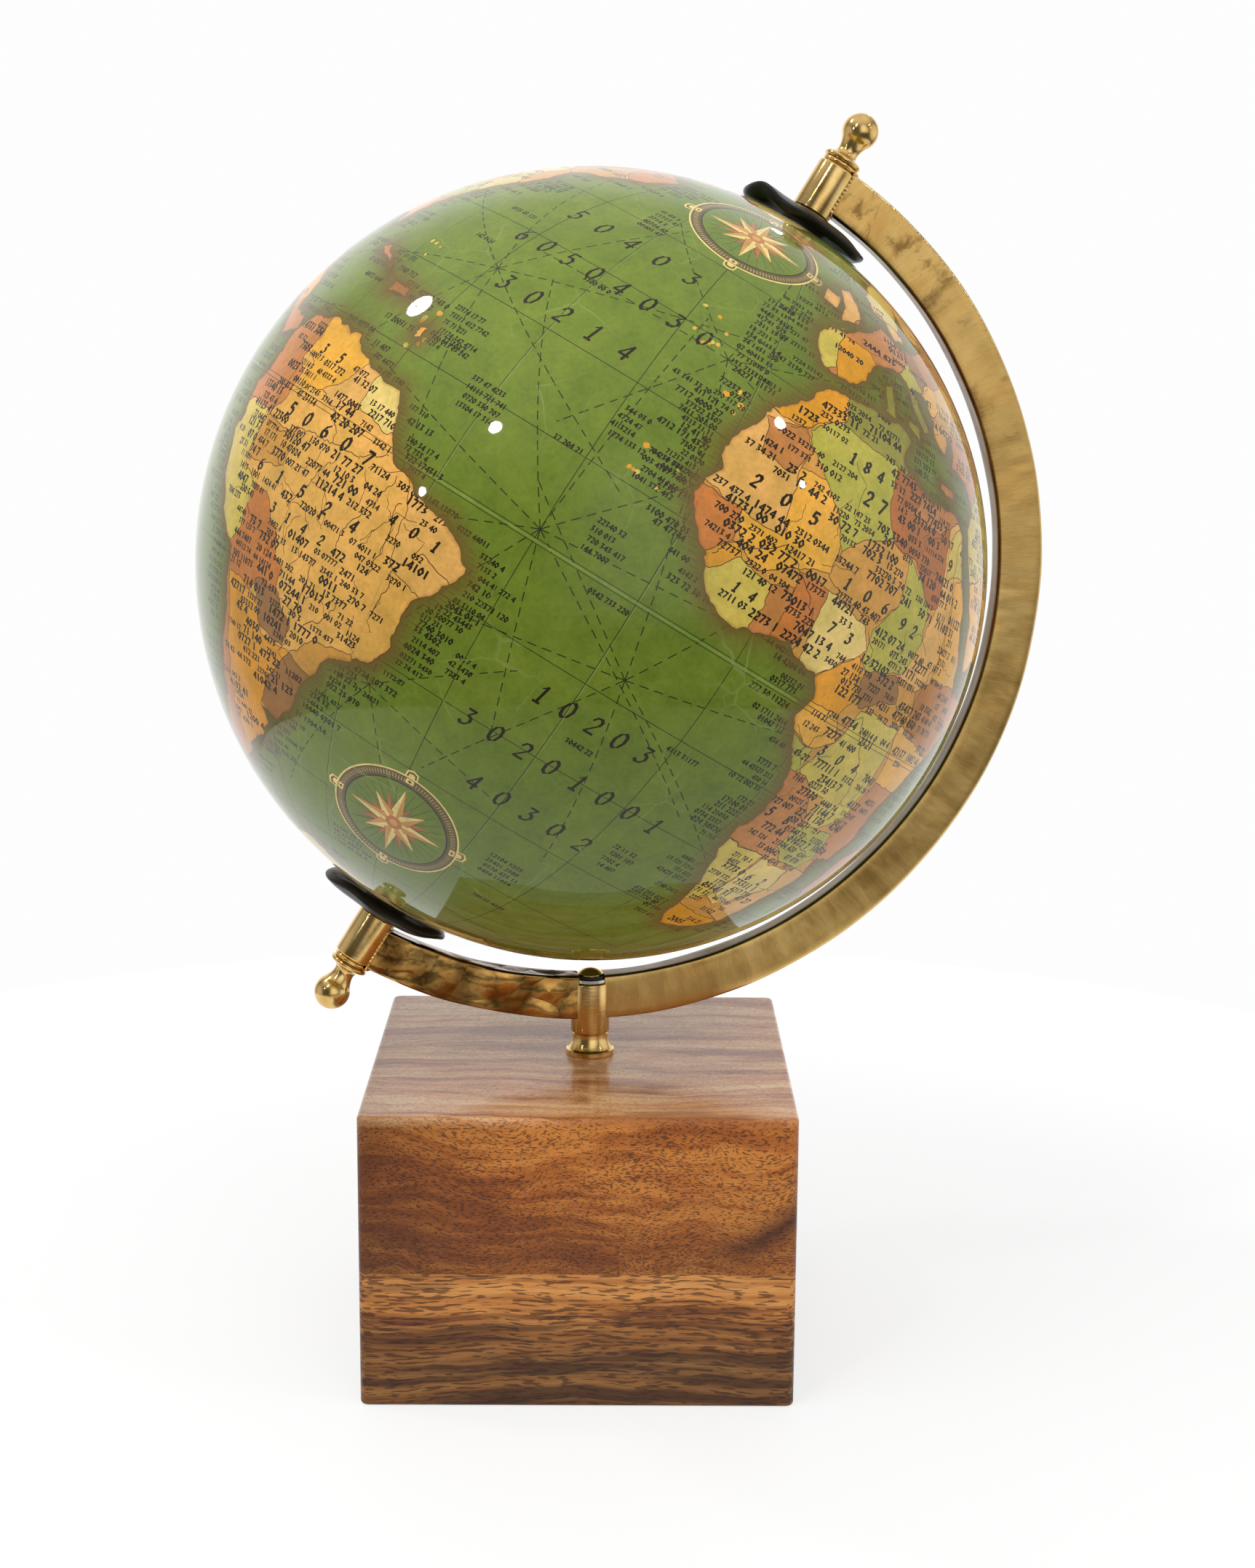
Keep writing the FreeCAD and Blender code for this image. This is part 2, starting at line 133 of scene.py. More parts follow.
class Recipe:
    """A material, and short ways to add nodes to it."""

    def __init__(self, name, **shader_values):
        self.material = bpy.data.materials.new(name)
        self.material.use_nodes = True
        self.tree = self.material.node_tree
        self.shader = self.tree.nodes["Principled BSDF"]
        for socket, value in shader_values.items():
            self.set(socket.replace("_", " "), value)

    def put(self, socket, value):
        if isinstance(value, bpy.types.NodeSocket):
            self.tree.links.new(value, socket)
        else:
            socket.default_value = value

    def set(self, socket, value):
        self.put(self.shader.inputs[socket], value)

    def node(self, kind, inputs=None, **settings):
        made = self.tree.nodes.new("ShaderNode" + kind)
        for name, value in settings.items():
            setattr(made, name, value)
        for name, value in (inputs or {}).items():
            self.put(made.inputs[name], value)
        return made

    def place(self):
        return self.node("TexCoord").outputs["Object"]

    def attribute(self, name, output="Vector"):
        return self.node("Attribute", attribute_name=name).outputs[output]

    def scaled(self, vector, scale):
        return self.node("Mapping", {"Vector": vector, "Scale": scale}).outputs["Vector"]

    def noise(self, vector, scale, detail=2.0, roughness=0.5, distortion=0.0, output="Fac"):
        return self.node("TexNoise", {"Vector": vector, "Scale": scale,
                                      "Detail": detail, "Roughness": roughness,
                                      "Distortion": distortion}).outputs[output]

    def cells(self, vector, scale, feature="F1"):
        return self.node("TexVoronoi", {"Vector": vector, "Scale": scale}, feature=feature).outputs["Distance"]

    def warped(self, vector, scale, amount):
        """The vector pushed about by noise, by up to about half of amount."""
        push = self.node("VectorMath", {0: self.noise(vector, scale, 3.0, output="Color"), 1: (0.5, 0.5, 0.5)},
                         operation="SUBTRACT")
        return self.node("VectorMath", {0: push.outputs[0], 1: amount, 2: vector},
                         operation="MULTIPLY_ADD").outputs[0]

    def ramp(self, share, *stops):
        """Stops are (position, colour or grey value)."""
        made = self.node("ValToRGB", {"Fac": share})
        elements = made.color_ramp.elements
        while len(elements) < len(stops):
            elements.new(0.5)
        for element, (position, value) in zip(elements, stops):
            element.position = position
            element.color = value if isinstance(value, tuple) else (value, value, value, 1.0)
        return made.outputs["Color"]

    def mix(self, share, first, second, blend="MIX"):
        made = self.node("Mix", data_type="RGBA", blend_type=blend)
        self.put(made.inputs[0], share)
        self.put(made.inputs[6], first)
        self.put(made.inputs[7], second)
        return made.outputs[2]

    def sum(self, operation, first, second=0.5, third=0.0):
        return self.node("Math", {0: first, 1: second, 2: third}, operation=operation).outputs[0]

    def bump(self, height, distance, strength=1.0, under=None):
        made = self.node("Bump", {"Height": height, "Distance": distance, "Strength": strength})
        if under is not None:
            self.put(made.inputs["Normal"], under)
        return made.outputs["Normal"]


WHITE = (1.0, 1.0, 1.0, 1.0)

# ---- wood, felt, metals, rubber and plastics ---------------------------------------


def wood(name, dark, middle, light, pore, figure, streak, fleck, fleck_share, flow):
    """Lacquered open-pored wood with its grain along X."""
    recipe = Recipe(name, Coat_Weight=0.85, Coat_Roughness=0.13, Coat_IOR=1.33, Specular_IOR_Level=0.06)
    place = recipe.warped(recipe.place(), 17.0, flow)
    broad = recipe.noise(recipe.scaled(place, figure), 1.0, 4.0, 0.55, 0.6)
    fine = recipe.noise(recipe.scaled(place, streak), 1.0, 3.0, 0.6, 0.2)
    share = recipe.sum("MULTIPLY_ADD", fine, 0.52, recipe.sum("MULTIPLY", broad, 0.5))
    body = recipe.ramp(share, (0.41, dark), (0.505, middle), (0.60, light))
    pores = recipe.noise(recipe.scaled(place, fleck), 1.0, 1.5, 0.5)
    clusters = recipe.noise(recipe.scaled(place, (30, 90, 90)), 1.0, 2.0)
    threshold = recipe.sum("MULTIPLY_ADD", clusters, -0.16, fleck_share + 0.08)
    deep = recipe.ramp(recipe.sum("SUBTRACT", pores, threshold), (0.0, 0.0), (0.05, 1.0))
    return recipe, place, body, deep, pore


def finish_wood(recipe, body, deep, pore):
    hair = recipe.noise(recipe.scaled(recipe.place(), (150, 2600, 2600)), 1.0, 2.0)
    body = recipe.mix(0.35, body, recipe.ramp(hair, (0.3, 0.55), (0.7, 1.0)), "MULTIPLY")
    recipe.set("Base Color", recipe.mix(recipe.sum("MULTIPLY", deep, 0.7), body, pore))
    recipe.set("Roughness", recipe.ramp(deep, (0.0, 0.42), (1.0, 0.7)))
    dents = recipe.bump(deep, -0.00012)
    recipe.set("Normal", dents)
    waves = recipe.noise(recipe.scaled(recipe.place(), (60, 140, 140)), 1.0, 2.0)
    lacquer = recipe.bump(waves, 0.00018, 0.6, recipe.bump(deep, -0.00004))
    recipe.set("Coat Normal", lacquer)
    return recipe.material


def upper_wood():
    recipe, place, body, deep, pore = wood(
        "wood_upper", colour(136, 72, 27), colour(167, 95, 36), colour(194, 122, 53), colour(62, 29, 12),
        (12, 52, 52), (28, 330, 330), (880, 3000, 3000), 0.555, (0.02, 0.02, 0.034))
    # a dark slanting band of heartwood low on the right
    x, y, z = recipe.node("SeparateXYZ", {0: place}).outputs
    slant = recipe.sum("MULTIPLY_ADD", x, -0.62, z)
    from_band = recipe.sum("ABSOLUTE", recipe.sum("SUBTRACT", slant, 0.0175))
    band = recipe.ramp(recipe.sum("MULTIPLY", from_band, 100.0), (0.05, 0.9), (0.75, 0.0))
    right = recipe.ramp(recipe.sum("MULTIPLY", x, 20.0), (0.60, 0.0), (0.95, 1.0))
    body = recipe.mix(recipe.sum("MULTIPLY", band, right), body, colour(74, 34, 18))
    # the top is painted paler: a painted reflection of the bright room above, streaked along the grain
    height = recipe.node("SeparateXYZ", {0: recipe.place()}).outputs["Z"]
    lit_top = recipe.sum("MULTIPLY", recipe.sum("SUBTRACT", height, block_top), 1000.0)
    lit_top = recipe.ramp(recipe.sum("MULTIPLY_ADD", lit_top, 0.25, 1.0), (0.3, 0.0), (0.95, 1.0))
    streaks = recipe.noise(recipe.scaled(place, (13, 150, 60)), 1.0, 4.0, 0.62, 0.4)
    top_sheen_and_grain = recipe.ramp(streaks, (0.38, colour(160, 98, 62)), (0.5, colour(230, 168, 118)),
                           (0.62, colour(255, 216, 168)))
    body = recipe.mix(recipe.sum("MULTIPLY", lit_top, 0.66), body, top_sheen_and_grain)
    deep = recipe.sum("MULTIPLY", deep, recipe.sum("MULTIPLY_ADD", lit_top, -0.45, 1.0))
    # darker towards the left
    left = recipe.ramp(recipe.sum("MULTIPLY_ADD", x, 9.0, 0.5), (0.0, 0.5), (0.34, 1.0))
    body = recipe.mix(1.0, body, left, "MULTIPLY")
    # darker towards the joint at the block's foot: painted shade
    above_joint = recipe.sum("SUBTRACT", z, block_joint)
    low = recipe.ramp(recipe.sum("MULTIPLY", above_joint, 25.0), (0.0, 0.66), (0.8, 1.0))
    body = recipe.mix(1.0, body, low, "MULTIPLY")
    return finish_wood(recipe, body, deep, pore)


def lower_wood():
    recipe, place, body, deep, pore = wood(
        "wood_lower", colour(112, 62, 25), colour(172, 109, 50), colour(200, 138, 74), colour(50, 25, 10),
        (7, 70, 95), (16, 420, 520), (210, 1400, 1700), 0.545, (0.012, 0.006, 0.010))
    bands = recipe.noise(recipe.scaled(place, (9, 60, 230)), 1.0, 3.0, 0.6)
    body = recipe.mix(recipe.ramp(bands, (0.51, 0.0), (0.62, 0.75)), body, colour(70, 35, 13))
    z = recipe.node("SeparateXYZ", {0: place}).outputs["Z"]
    # darker towards the bottom of the block: painted shade
    low = recipe.ramp(recipe.sum("MULTIPLY", z, 1 / block_joint), (0.30, 0.42), (0.55, 0.62), (0.72, 1.0))
    body = recipe.mix(1.0, body, low, "MULTIPLY")
    return finish_wood(recipe, body, deep, pore)


def felt():
    recipe = Recipe("felt_green", Roughness=0.95, Sheen_Weight=0.5, Specular_IOR_Level=0.15)
    fibres = recipe.noise(recipe.warped(recipe.place(), 900.0, (0.0015, 0.0015, 0.0015)), 2600.0, 3.0)
    recipe.set("Base Color", recipe.ramp(fibres, (0.3, colour(30, 44, 32)), (0.7, colour(58, 78, 56))))
    recipe.set("Normal", recipe.bump(fibres, 0.0004))
    return recipe.material


def turned_brass(name, place_attribute=None):
    """Polished brass with the lathe's fine rings and a little tarnish; its axis is Z of the place given."""
    recipe = Recipe(name, Metallic=1.0)
    place = recipe.attribute(place_attribute) if place_attribute else recipe.place()
    rings = recipe.noise(recipe.scaled(place, (60, 60, 5200)), 1.0, 2.0, 0.6)
    cloud = recipe.noise(recipe.scaled(place, (220, 220, 150)), 1.0, 3.0)
    tone = recipe.ramp(cloud, (0.3, colour(214, 172, 98)), (0.7, colour(240, 206, 138)))
    recipe.set("Base Color", recipe.mix(0.3, tone, recipe.ramp(rings, (0.3, 0.7), (0.7, 1.0)), "MULTIPLY"))
    recipe.set("Roughness", recipe.ramp(cloud, (0.25, 0.08), (0.75, 0.17)))
    recipe.set("Normal", recipe.bump(rings, 0.00004, 0.6))
    return recipe.material


def bar_brass(name, tones, roughness, cloud_scale, wave_scale, wave_height, dents=None):
    """Hand-finished bar: cloudy strokes across it, and a wavy surface, or one dented by a hammer."""
    recipe = Recipe(name, Metallic=1.0)
    place = recipe.attribute("bar_place")
    clouds = recipe.warped(recipe.scaled(place, cloud_scale), 1.5, (0.8, 0.8, 0.8))
    strokes = recipe.noise(clouds, 1.0, 5.0, 0.6, 0.4)
    hairs = recipe.noise(recipe.scaled(place, (2600, 260, 260)), 1.0, 2.0)
    broad = recipe.noise(recipe.scaled(place, (32, 60, 60)), 1.0, 3.0)
    share = recipe.sum("MULTIPLY_ADD", strokes, 0.6, recipe.sum("MULTIPLY", broad, 0.4))
    tone = recipe.ramp(share, (0.36, tones[0]), (0.50, tones[1]), (0.64, tones[2]))
    tone = recipe.mix(0.28, tone, recipe.ramp(hairs, (0.3, 0.7), (0.7, 1.0)), "MULTIPLY")
    along, out, across = recipe.node("SeparateXYZ", {0: place}).outputs
    spread = recipe.warped(recipe.scaled(place, (150, 90, 90)), 1.0, (0.9, 0.9, 0.9))
    stains = recipe.noise(spread, 1.0, 4.0, 0.65)
    upper = recipe.ramp(recipe.sum("MULTIPLY", along, 8.0), (0.1, 0.15), (0.75, 0.85))
    stained = recipe.sum("MULTIPLY", upper, recipe.ramp(stains, (0.52, 0.0), (0.64, 0.85)))
    tone = recipe.mix(stained, tone, colour(104, 70, 34))
    # the inner face, between the bar and the globe, is painted dark grey: painted shade
    from_inner = recipe.sum("MULTIPLY", recipe.sum("SUBTRACT", out, arm_inner), 1000.0)
    tone = recipe.mix(recipe.ramp(from_inner, (0.25, 0.8), (0.8, 0.0)), tone, colour(66, 56, 50))
    # a painted highlight: the outer edges are painted bright, as if catching the light
    from_outer = recipe.sum("MULTIPLY", recipe.sum("SUBTRACT", arm_outer, out), 1000.0)
    tone = recipe.mix(recipe.ramp(from_outer, (0.35, 0.5), (1.0, 0.0)), tone, colour(236, 206, 144))
    if dents:
        hollows = recipe.cells(recipe.warped(place, 90.0, (0.005, 0.005, 0.005)), dents[0])
        tone = recipe.mix(recipe.ramp(hollows, (0.3, 0.0), (0.62, 0.75)), tone, colour(84, 54, 22))
    recipe.set("Base Color", tone)
    recipe.set("Roughness", recipe.ramp(share, (0.35, roughness[0]), (0.65, roughness[1])))
    waves = recipe.noise(recipe.scaled(place, wave_scale), 1.0, 2.0, 0.5, 0.8)
    under = recipe.bump(waves, wave_height)
    if dents:
        under = recipe.bump(hollows, dents[1], 1.0, under)
    recipe.set("Normal", recipe.bump(hairs, 0.00002, 0.5, under))
    return recipe.material


def steel():
    recipe = Recipe("steel", Metallic=1.0)
    cloud = recipe.noise(recipe.place(), 900.0, 3.0)
    recipe.set("Base Color", recipe.ramp(cloud, (0.3, colour(176, 176, 172)), (0.7, colour(214, 213, 208))))
    recipe.set("Roughness", recipe.ramp(cloud, (0.3, 0.16), (0.7, 0.3)))
    rings = recipe.noise(recipe.scaled(recipe.place(), (300, 300, 4000)), 1.0, 2.0)
    recipe.set("Normal", recipe.bump(rings, 0.00002, 0.5))
    return recipe.material


def speckled(name, dark, light, roughness, scale, bump, **shader_values):
    """A plain moulded or pressed material with a fine, slightly mottled surface."""
    recipe = Recipe(name, **shader_values)
    cloud = recipe.noise(recipe.place(), scale * 0.15, 3.0)
    grain = recipe.noise(recipe.place(), scale, 3.0, 0.6)
    share = recipe.sum("MULTIPLY_ADD", grain, 0.4, recipe.sum("MULTIPLY", cloud, 0.6))
    recipe.set("Base Color", recipe.ramp(share, (0.35, dark), (0.65, light)))
    recipe.set("Roughness", recipe.ramp(share, (0.35, roughness[0]), (0.65, roughness[1])))
    recipe.set("Normal", recipe.bump(grain, bump))
    return recipe.material


UPPER_WOOD = upper_wood()
LOWER_WOOD = lower_wood()
FELT = felt()
BRASS = turned_brass("brass_turned", "turned_place")
BOLT_BRASS = turned_brass("brass_bolt")
BAR_BRASS = bar_brass("brass_bar", (colour(190, 150, 84), colour(208, 170, 100), colour(222, 186, 116)),
                      (0.22, 0.32), (190, 60, 60), (50, 30, 30), 0.0004)
TAIL_BRASS = bar_brass("brass_bar_polished",
                       (colour(158, 112, 54), colour(196, 150, 80), colour(222, 182, 112)),
                       (0.08, 0.18), (160, 90, 90), (45, 40, 40), 0.0008, dents=(115.0, 0.0011))
STEEL = steel()
RUBBER = speckled("black_rubber", colour(8, 7, 6), colour(17, 15, 13), (0.3, 0.42), 1500.0, 0.00004,
                  Specular_IOR_Level=0.25)
FIBRE = speckled("black_fibre", colour(16, 14, 12), colour(34, 30, 26), (0.5, 0.7), 2200.0, 0.00006)
NYLON = speckled("nylon", colour(206, 200, 186), colour(226, 220, 206), (0.35, 0.5), 1400.0, 0.00003)
SHELL = speckled("globe_shell", colour(214, 208, 196), colour(232, 228, 218), (0.3, 0.45), 600.0, 0.00005)

for material, *nodes in (
        (UPPER_WOOD, "base_upper_block"), (LOWER_WOOD, "base_lower_block"), (FELT, "base_felt_disc"),
        (BOLT_BRASS, "stem_bolt"), (FIBRE, "stem_fibre_washer"),
        (STEEL, "base_washer", "base_nut", "stem_steel_washer", "north_pivot_pin", "south_pivot_pin"),
        (NYLON, "north_thrust_washer", "south_thrust_washer", "north_pole_bush", "south_pole_bush"),
        (SHELL, "north_hemisphere", "south_hemisphere", "equator_joint_ring")):
    for node in nodes:
        mesh = frame["nodes"][node].data
        mesh.materials.clear()
        mesh.materials.append(material)

# ---- mesh helpers ------------------------------------------------------------------


def piece(name, points, faces, material, body, replaced=(), attributes=None):
    """A new piece of mesh that rides a body and takes its finish from a slot."""
    mesh = bpy.data.meshes.new(name)
    mesh.from_pydata([tuple(point) for point in points], [], faces)
    mesh.materials.append(material)
    mesh.shade_smooth()
    for attribute, values in (attributes or {}).items():
        layer = mesh.attributes.new(attribute, "FLOAT_VECTOR", "POINT")
        layer.data.foreach_set("vector", [number for value in values for number in value])
    mesh.update()
    made = bpy.data.objects.new(name, mesh)
    bpy.context.scene.collection.objects.link(made)
    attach(made, body)
    if replaced:
        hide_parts(*replaced)
    return made


def rounded_profile(corners):
    """A closed outline from (reach, height, rounding) corners, each rounded by a short arc."""
    steps = 3
    outline = []
    count = len(corners)
    for k, (reach, height, rounding) in enumerate(corners):
        here = Vector((reach, height))
        before = Vector(corners[k - 1][:2])
        after = Vector(corners[(k + 1) % count][:2])
        if rounding <= 0:
            outline.append(here)
            continue
        cut = min(rounding, (before - here).length * 0.45, (after - here).length * 0.45)
        start = here + (before - here).normalized() * cut
        end = here + (after - here).normalized() * cut
        for step in range(steps + 1):
            share = step / steps
            outline.append(start.lerp(here, share).lerp(here.lerp(end, share), share))
    return outline


def lathe(name, outline, place, body, replaced):
    """A closed outline of (reach, height) points turned about a frame's Z.  Points on the axis are shared."""
    around = 96
    points = []
    places = []
    faces = []
    rings = []
    for reach, height in outline:
        if reach < 1e-7:
            rings.append([len(points)] * around)
            points.append(place @ Vector((0, 0, height)))
            places.append((0, 0, height))
            continue
        ring = []
        for k in range(around):
            angle = math.tau * k / around
            ring.append(len(points))
            local = Vector((reach * math.cos(angle), reach * math.sin(angle), height))
            points.append(place @ local)
            places.append(tuple(local))
        rings.append(ring)
    for lower, upper in zip(rings, rings[1:] + rings[:1]):
        if lower[0] == lower[1] and upper[0] == upper[1]:
            continue
        for k in range(around):
            after = (k + 1) % around
            corners = [lower[k], lower[after], upper[after], upper[k]]
            faces.append(list(dict.fromkeys(corners)))
    made = piece(name, points, faces, BRASS, body, replaced, {"turned_place": places})
    made.data.set_sharp_from_angle(angle=math.radians(40))
    return made


def tube_along(points, radii):
    """Vertices and faces of a closed-ended tube of changing radius along points."""
    around = 8
    vertices = []
    faces = []
    count = len(points)
    side = Vector((0, 0, 1))
    for k, point in enumerate(points):
        ahead = (points[min(k + 1, count - 1)] - points[max(k - 1, 0)]).normalized()
        side = (side - ahead * side.dot(ahead)).normalized()
        other = ahead.cross(side)
        for j in range(around):
            angle = math.tau * j / around
            vertices.append(point + (side * math.cos(angle) + other * math.sin(angle)) * radii[k])
    for k in range(count - 1):
        for j in range(around):
            after = (j + 1) % around
            faces.append((k * around + j, k * around + after,
                          (k + 1) * around + after, (k + 1) * around + j))
    faces.append(tuple(reversed(range(around))))
    faces.append(tuple((count - 1) * around + j for j in range(around)))
    return vertices, faces


def joined(parts):
    """Several (vertices, faces) as one."""
    vertices = []
    faces = []
    for part_vertices, part_faces in parts:
        start = len(vertices)
        vertices.extend(part_vertices)
        faces.extend(tuple(start + corner for corner in face) for face in part_faces)
    return vertices, faces

# ---- turned brass ------------------------------------------------------------------

collar_low, collar_high, collar_bore, collar_foot = extent("stem_collar", stem_axis)
boss_low, boss_high, stem_bore, boss_radius = extent("stem_boss", stem_axis)
collar_neck = boss_radius - 0.5 * MM
COLLAR_BAND = 1.6 * MM


def collar_outline():
    """A straight band, a groove above it and a cove up to the neck."""
    band_top = collar_low + COLLAR_BAND
    outline = [Vector((collar_bore, collar_low)), Vector((collar_foot - 0.3 * MM, collar_low)),
               Vector((collar_foot, collar_low + 0.3 * MM)), Vector((collar_foot, band_top - 0.2 * MM)),
               Vector((collar_foot - 0.2 * MM, band_top))]
    steps = 12
    for k in range(steps + 1):
        share = k / steps
        reach = collar_neck + (collar_foot - 0.45 * MM - collar_neck) * (1 - share) ** 2.2
        outline.append(Vector((reach, band_top + 0.1 * MM + (collar_high - band_top - 0.3 * MM) * share)))
    outline.append(Vector((collar_neck - 0.2 * MM, collar_high)))
    outline.append(Vector((collar_bore, collar_high)))
    return outline


lathe("collar", collar_outline(), stem_axis, "base", ["stem_collar"])


def boss_outline(low, high, bore, radius):
    edge = 0.5 * MM
    return rounded_profile([(bore, low, 0), (radius - edge, low, 0.2 * MM), (radius, low + edge, 0.2 * MM),
                            (radius, high - edge, 0.2 * MM), (radius - edge, high, 0.2 * MM), (bore, high, 0)])


HAIRLINE = 0.03 * MM        # the boss turns on the collar, just clear of it
KNOB_RADIUS = 4.7 * MM
lathe("stem_boss_turned", boss_outline(boss_low + HAIRLINE, boss_high, stem_bore, boss_radius),
      stem_axis, "arm", ["stem_boss"])


def finial_outline(foot, tip, ball_radius, bead_radius):
    """Two beads, a waisted neck and a ball that is a little longer than wide."""
    bead = 1.35 * MM
    centre = tip - ball_radius
    outline = [Vector((0, foot))]
    for low, reach in ((foot, bead_radius - 0.35 * MM), (foot + bead, bead_radius)):
        for k in range(9):
            angle = math.pi * (k / 8 - 0.5)
            outline.append(Vector((reach - bead / 2 + bead / 2 * math.cos(angle),
                                   low + bead / 2 + bead / 2 * math.sin(angle))))
    shoulder = foot + 2 * bead
    neck = 2.7 * MM
    join = math.radians(-40)
    join_reach = ball_radius * math.cos(join)
    join_height = centre + ball_radius * math.sin(join)
    waist = shoulder + 0.4 * (join_height - shoulder)
    steps = 10
    for k in range(1, steps + 1):
        share = k / steps
        height = shoulder + (join_height - shoulder) * share
        if height < waist:
            rise = (waist - height) / (waist - shoulder)
            outline.append(Vector((neck + (bead_radius - bead - neck) * rise ** 2, height)))
        else:
            rise = (height - waist) / (join_height - waist)
            outline.append(Vector((neck + (join_reach - neck) * rise ** 1.7, height)))
    steps = 24
    for k in range(1, steps + 1):
        angle = join + (math.pi / 2 - join) * k / steps
        reach = ball_radius * math.cos(angle)
        outline.append(Vector((0.0 if k == steps else reach, centre + ball_radius * math.sin(angle))))
    return outline


for end, place in (("north", north_end), ("south", south_end)):
    low, high, bore, radius = extent(end + "_pole_boss", place)
    lathe(end + "_boss_turned", boss_outline(low, high, bore, radius), place, "arm", [end + "_pole_boss"])
    foot, tip, _, _ = extent(end + "_finial", place)
    lathe(end + "_knob", finial_outline(foot, tip, KNOB_RADIUS, radius - 0.1 * MM), place, "arm",
          [end + "_finial"])

# ---- arm ---------------------------------------------------------------------------

boss_angle = math.degrees(math.asin((boss_radius - 1.6 * MM) / ((arm_inner + arm_outer) / 2)))
pole_angle = 90 - math.degrees(pole_tilt)


def bar_section():
    """The bar's outline as (distance from the globe's centre, sideways) with rounded edges, split finely."""
    half = arm_half_thickness
    corners = [(arm_inner, -half, 0.8 * MM), (arm_outer, -half, 0.8 * MM),
               (arm_outer, half, 0.8 * MM), (arm_inner, half, 0.8 * MM)]
    outline = []
    rounded = rounded_profile(corners)
    for here, after in zip(rounded, rounded[1:] + rounded[:1]):
        pieces = max(1, round((after - here).length / (1.4 * MM)))
        for k in range(pieces):
            outline.append(here.lerp(after, k / pieces))
    return outline


def bent_bar(name, start, end, material, replaced, dent):
    """The bar from one angle to another in the arm's plane, its surface slightly uneven."""
    section = bar_section()
    rings = max(8, round(abs(end - start) / 0.6))
    points = []
    places = []
    faces = []
    count = len(section)
    middle = Vector(((arm_inner + arm_outer) / 2, 0))
    for ring in range(rings + 1):
        angle = math.radians(start + (end - start) * ring / rings)
        for spot in section:
            outward = (spot - middle).normalized()
            along = angle * middle.x
            sample = Vector((along * 55, spot.x * 160, spot.y * 160))
            moved = spot + outward * dent * (noise.noise(sample) - 0.35)
            local = Vector((moved.x * math.cos(angle), moved.y, moved.x * math.sin(angle)))
            points.append(arm_plane @ local)
            places.append((along, spot.x, spot.y))
    for ring in range(rings):
        for k in range(count):
            after = (k + 1) % count
            faces.append((ring * count + k, (ring + 1) * count + k,
                          (ring + 1) * count + after, ring * count + after))
    faces.append(tuple(range(count)))
    faces.append(tuple(rings * count + k for k in reversed(range(count))))
    made = piece(name, points, faces, material, "arm", replaced,
                 attributes={"bar_place": places})
    made.data.set_sharp_from_angle(angle=math.radians(50))
    return made


bent_bar("arm_long_bar", -90 + boss_angle, pole_angle - boss_angle, BAR_BRASS, ["arm_main_section"], 0.22 * MM)
bent_bar("arm_short_bar", -180 + pole_angle + boss_angle, -90 - boss_angle, TAIL_BRASS, ["arm_tail_section"],
         0.4 * MM)


def braze_seam(place, toward, low, high, seed):
    """Small beads of brazing round the joint between the bar and one side of a boss."""
    random.seed(seed)
    half = arm_half_thickness
    reach = math.sqrt((boss_radius + 0.05 * MM) ** 2 - half ** 2)
    route = []
    for height, side in ((low, -1), (high, -1), (high, 1), (low, 1), (low, -1)):
        route.append(Vector((toward * reach, side * half, height)))
    path = []
    for here, after in zip(route, route[1:]):
        length = (after - here).length
        count = max(2, round(length / (0.22 * MM)))
        for k in range(count):
            spot = here.lerp(after, k / count)
            flat = Vector((spot.x, spot.y))
            if abs(spot.y) < half * 0.98:
                flat = Vector((toward * math.sqrt(boss_radius ** 2 - spot.y ** 2), spot.y))
            path.append(place @ Vector((flat.x, flat.y, spot.z)))
    path.append(path[0])
    radii = []
    for k in range(len(path)):
        radii.append((0.26 + 0.2 * abs(math.sin(k * 0.62)) + random.uniform(-0.05, 0.05)) * MM)
    points, faces = tube_along(path, radii)
    return points, faces


stem_turn = stem_axis @ Matrix.Translation((0, 0, globe_centre.z)) @ Matrix.Rotation(arm_turn, 4, "Z")
seams = [braze_seam(stem_turn, side, -arm_outer, -arm_inner, seed)
         for seed, side in enumerate((-1, 1))]
seams.append(braze_seam(north_end, 1, arm_inner, arm_outer, 3))
seams.append(braze_seam(south_end, -1, arm_inner, arm_outer, 4))
seam_points, seam_faces = joined(seams)
piece("braze_seams", seam_points, seam_faces, BRASS, "arm",
      attributes={"turned_place": [tuple(point) for point in seam_points]})

# ---- pole caps -----------------------------------------------------------------------


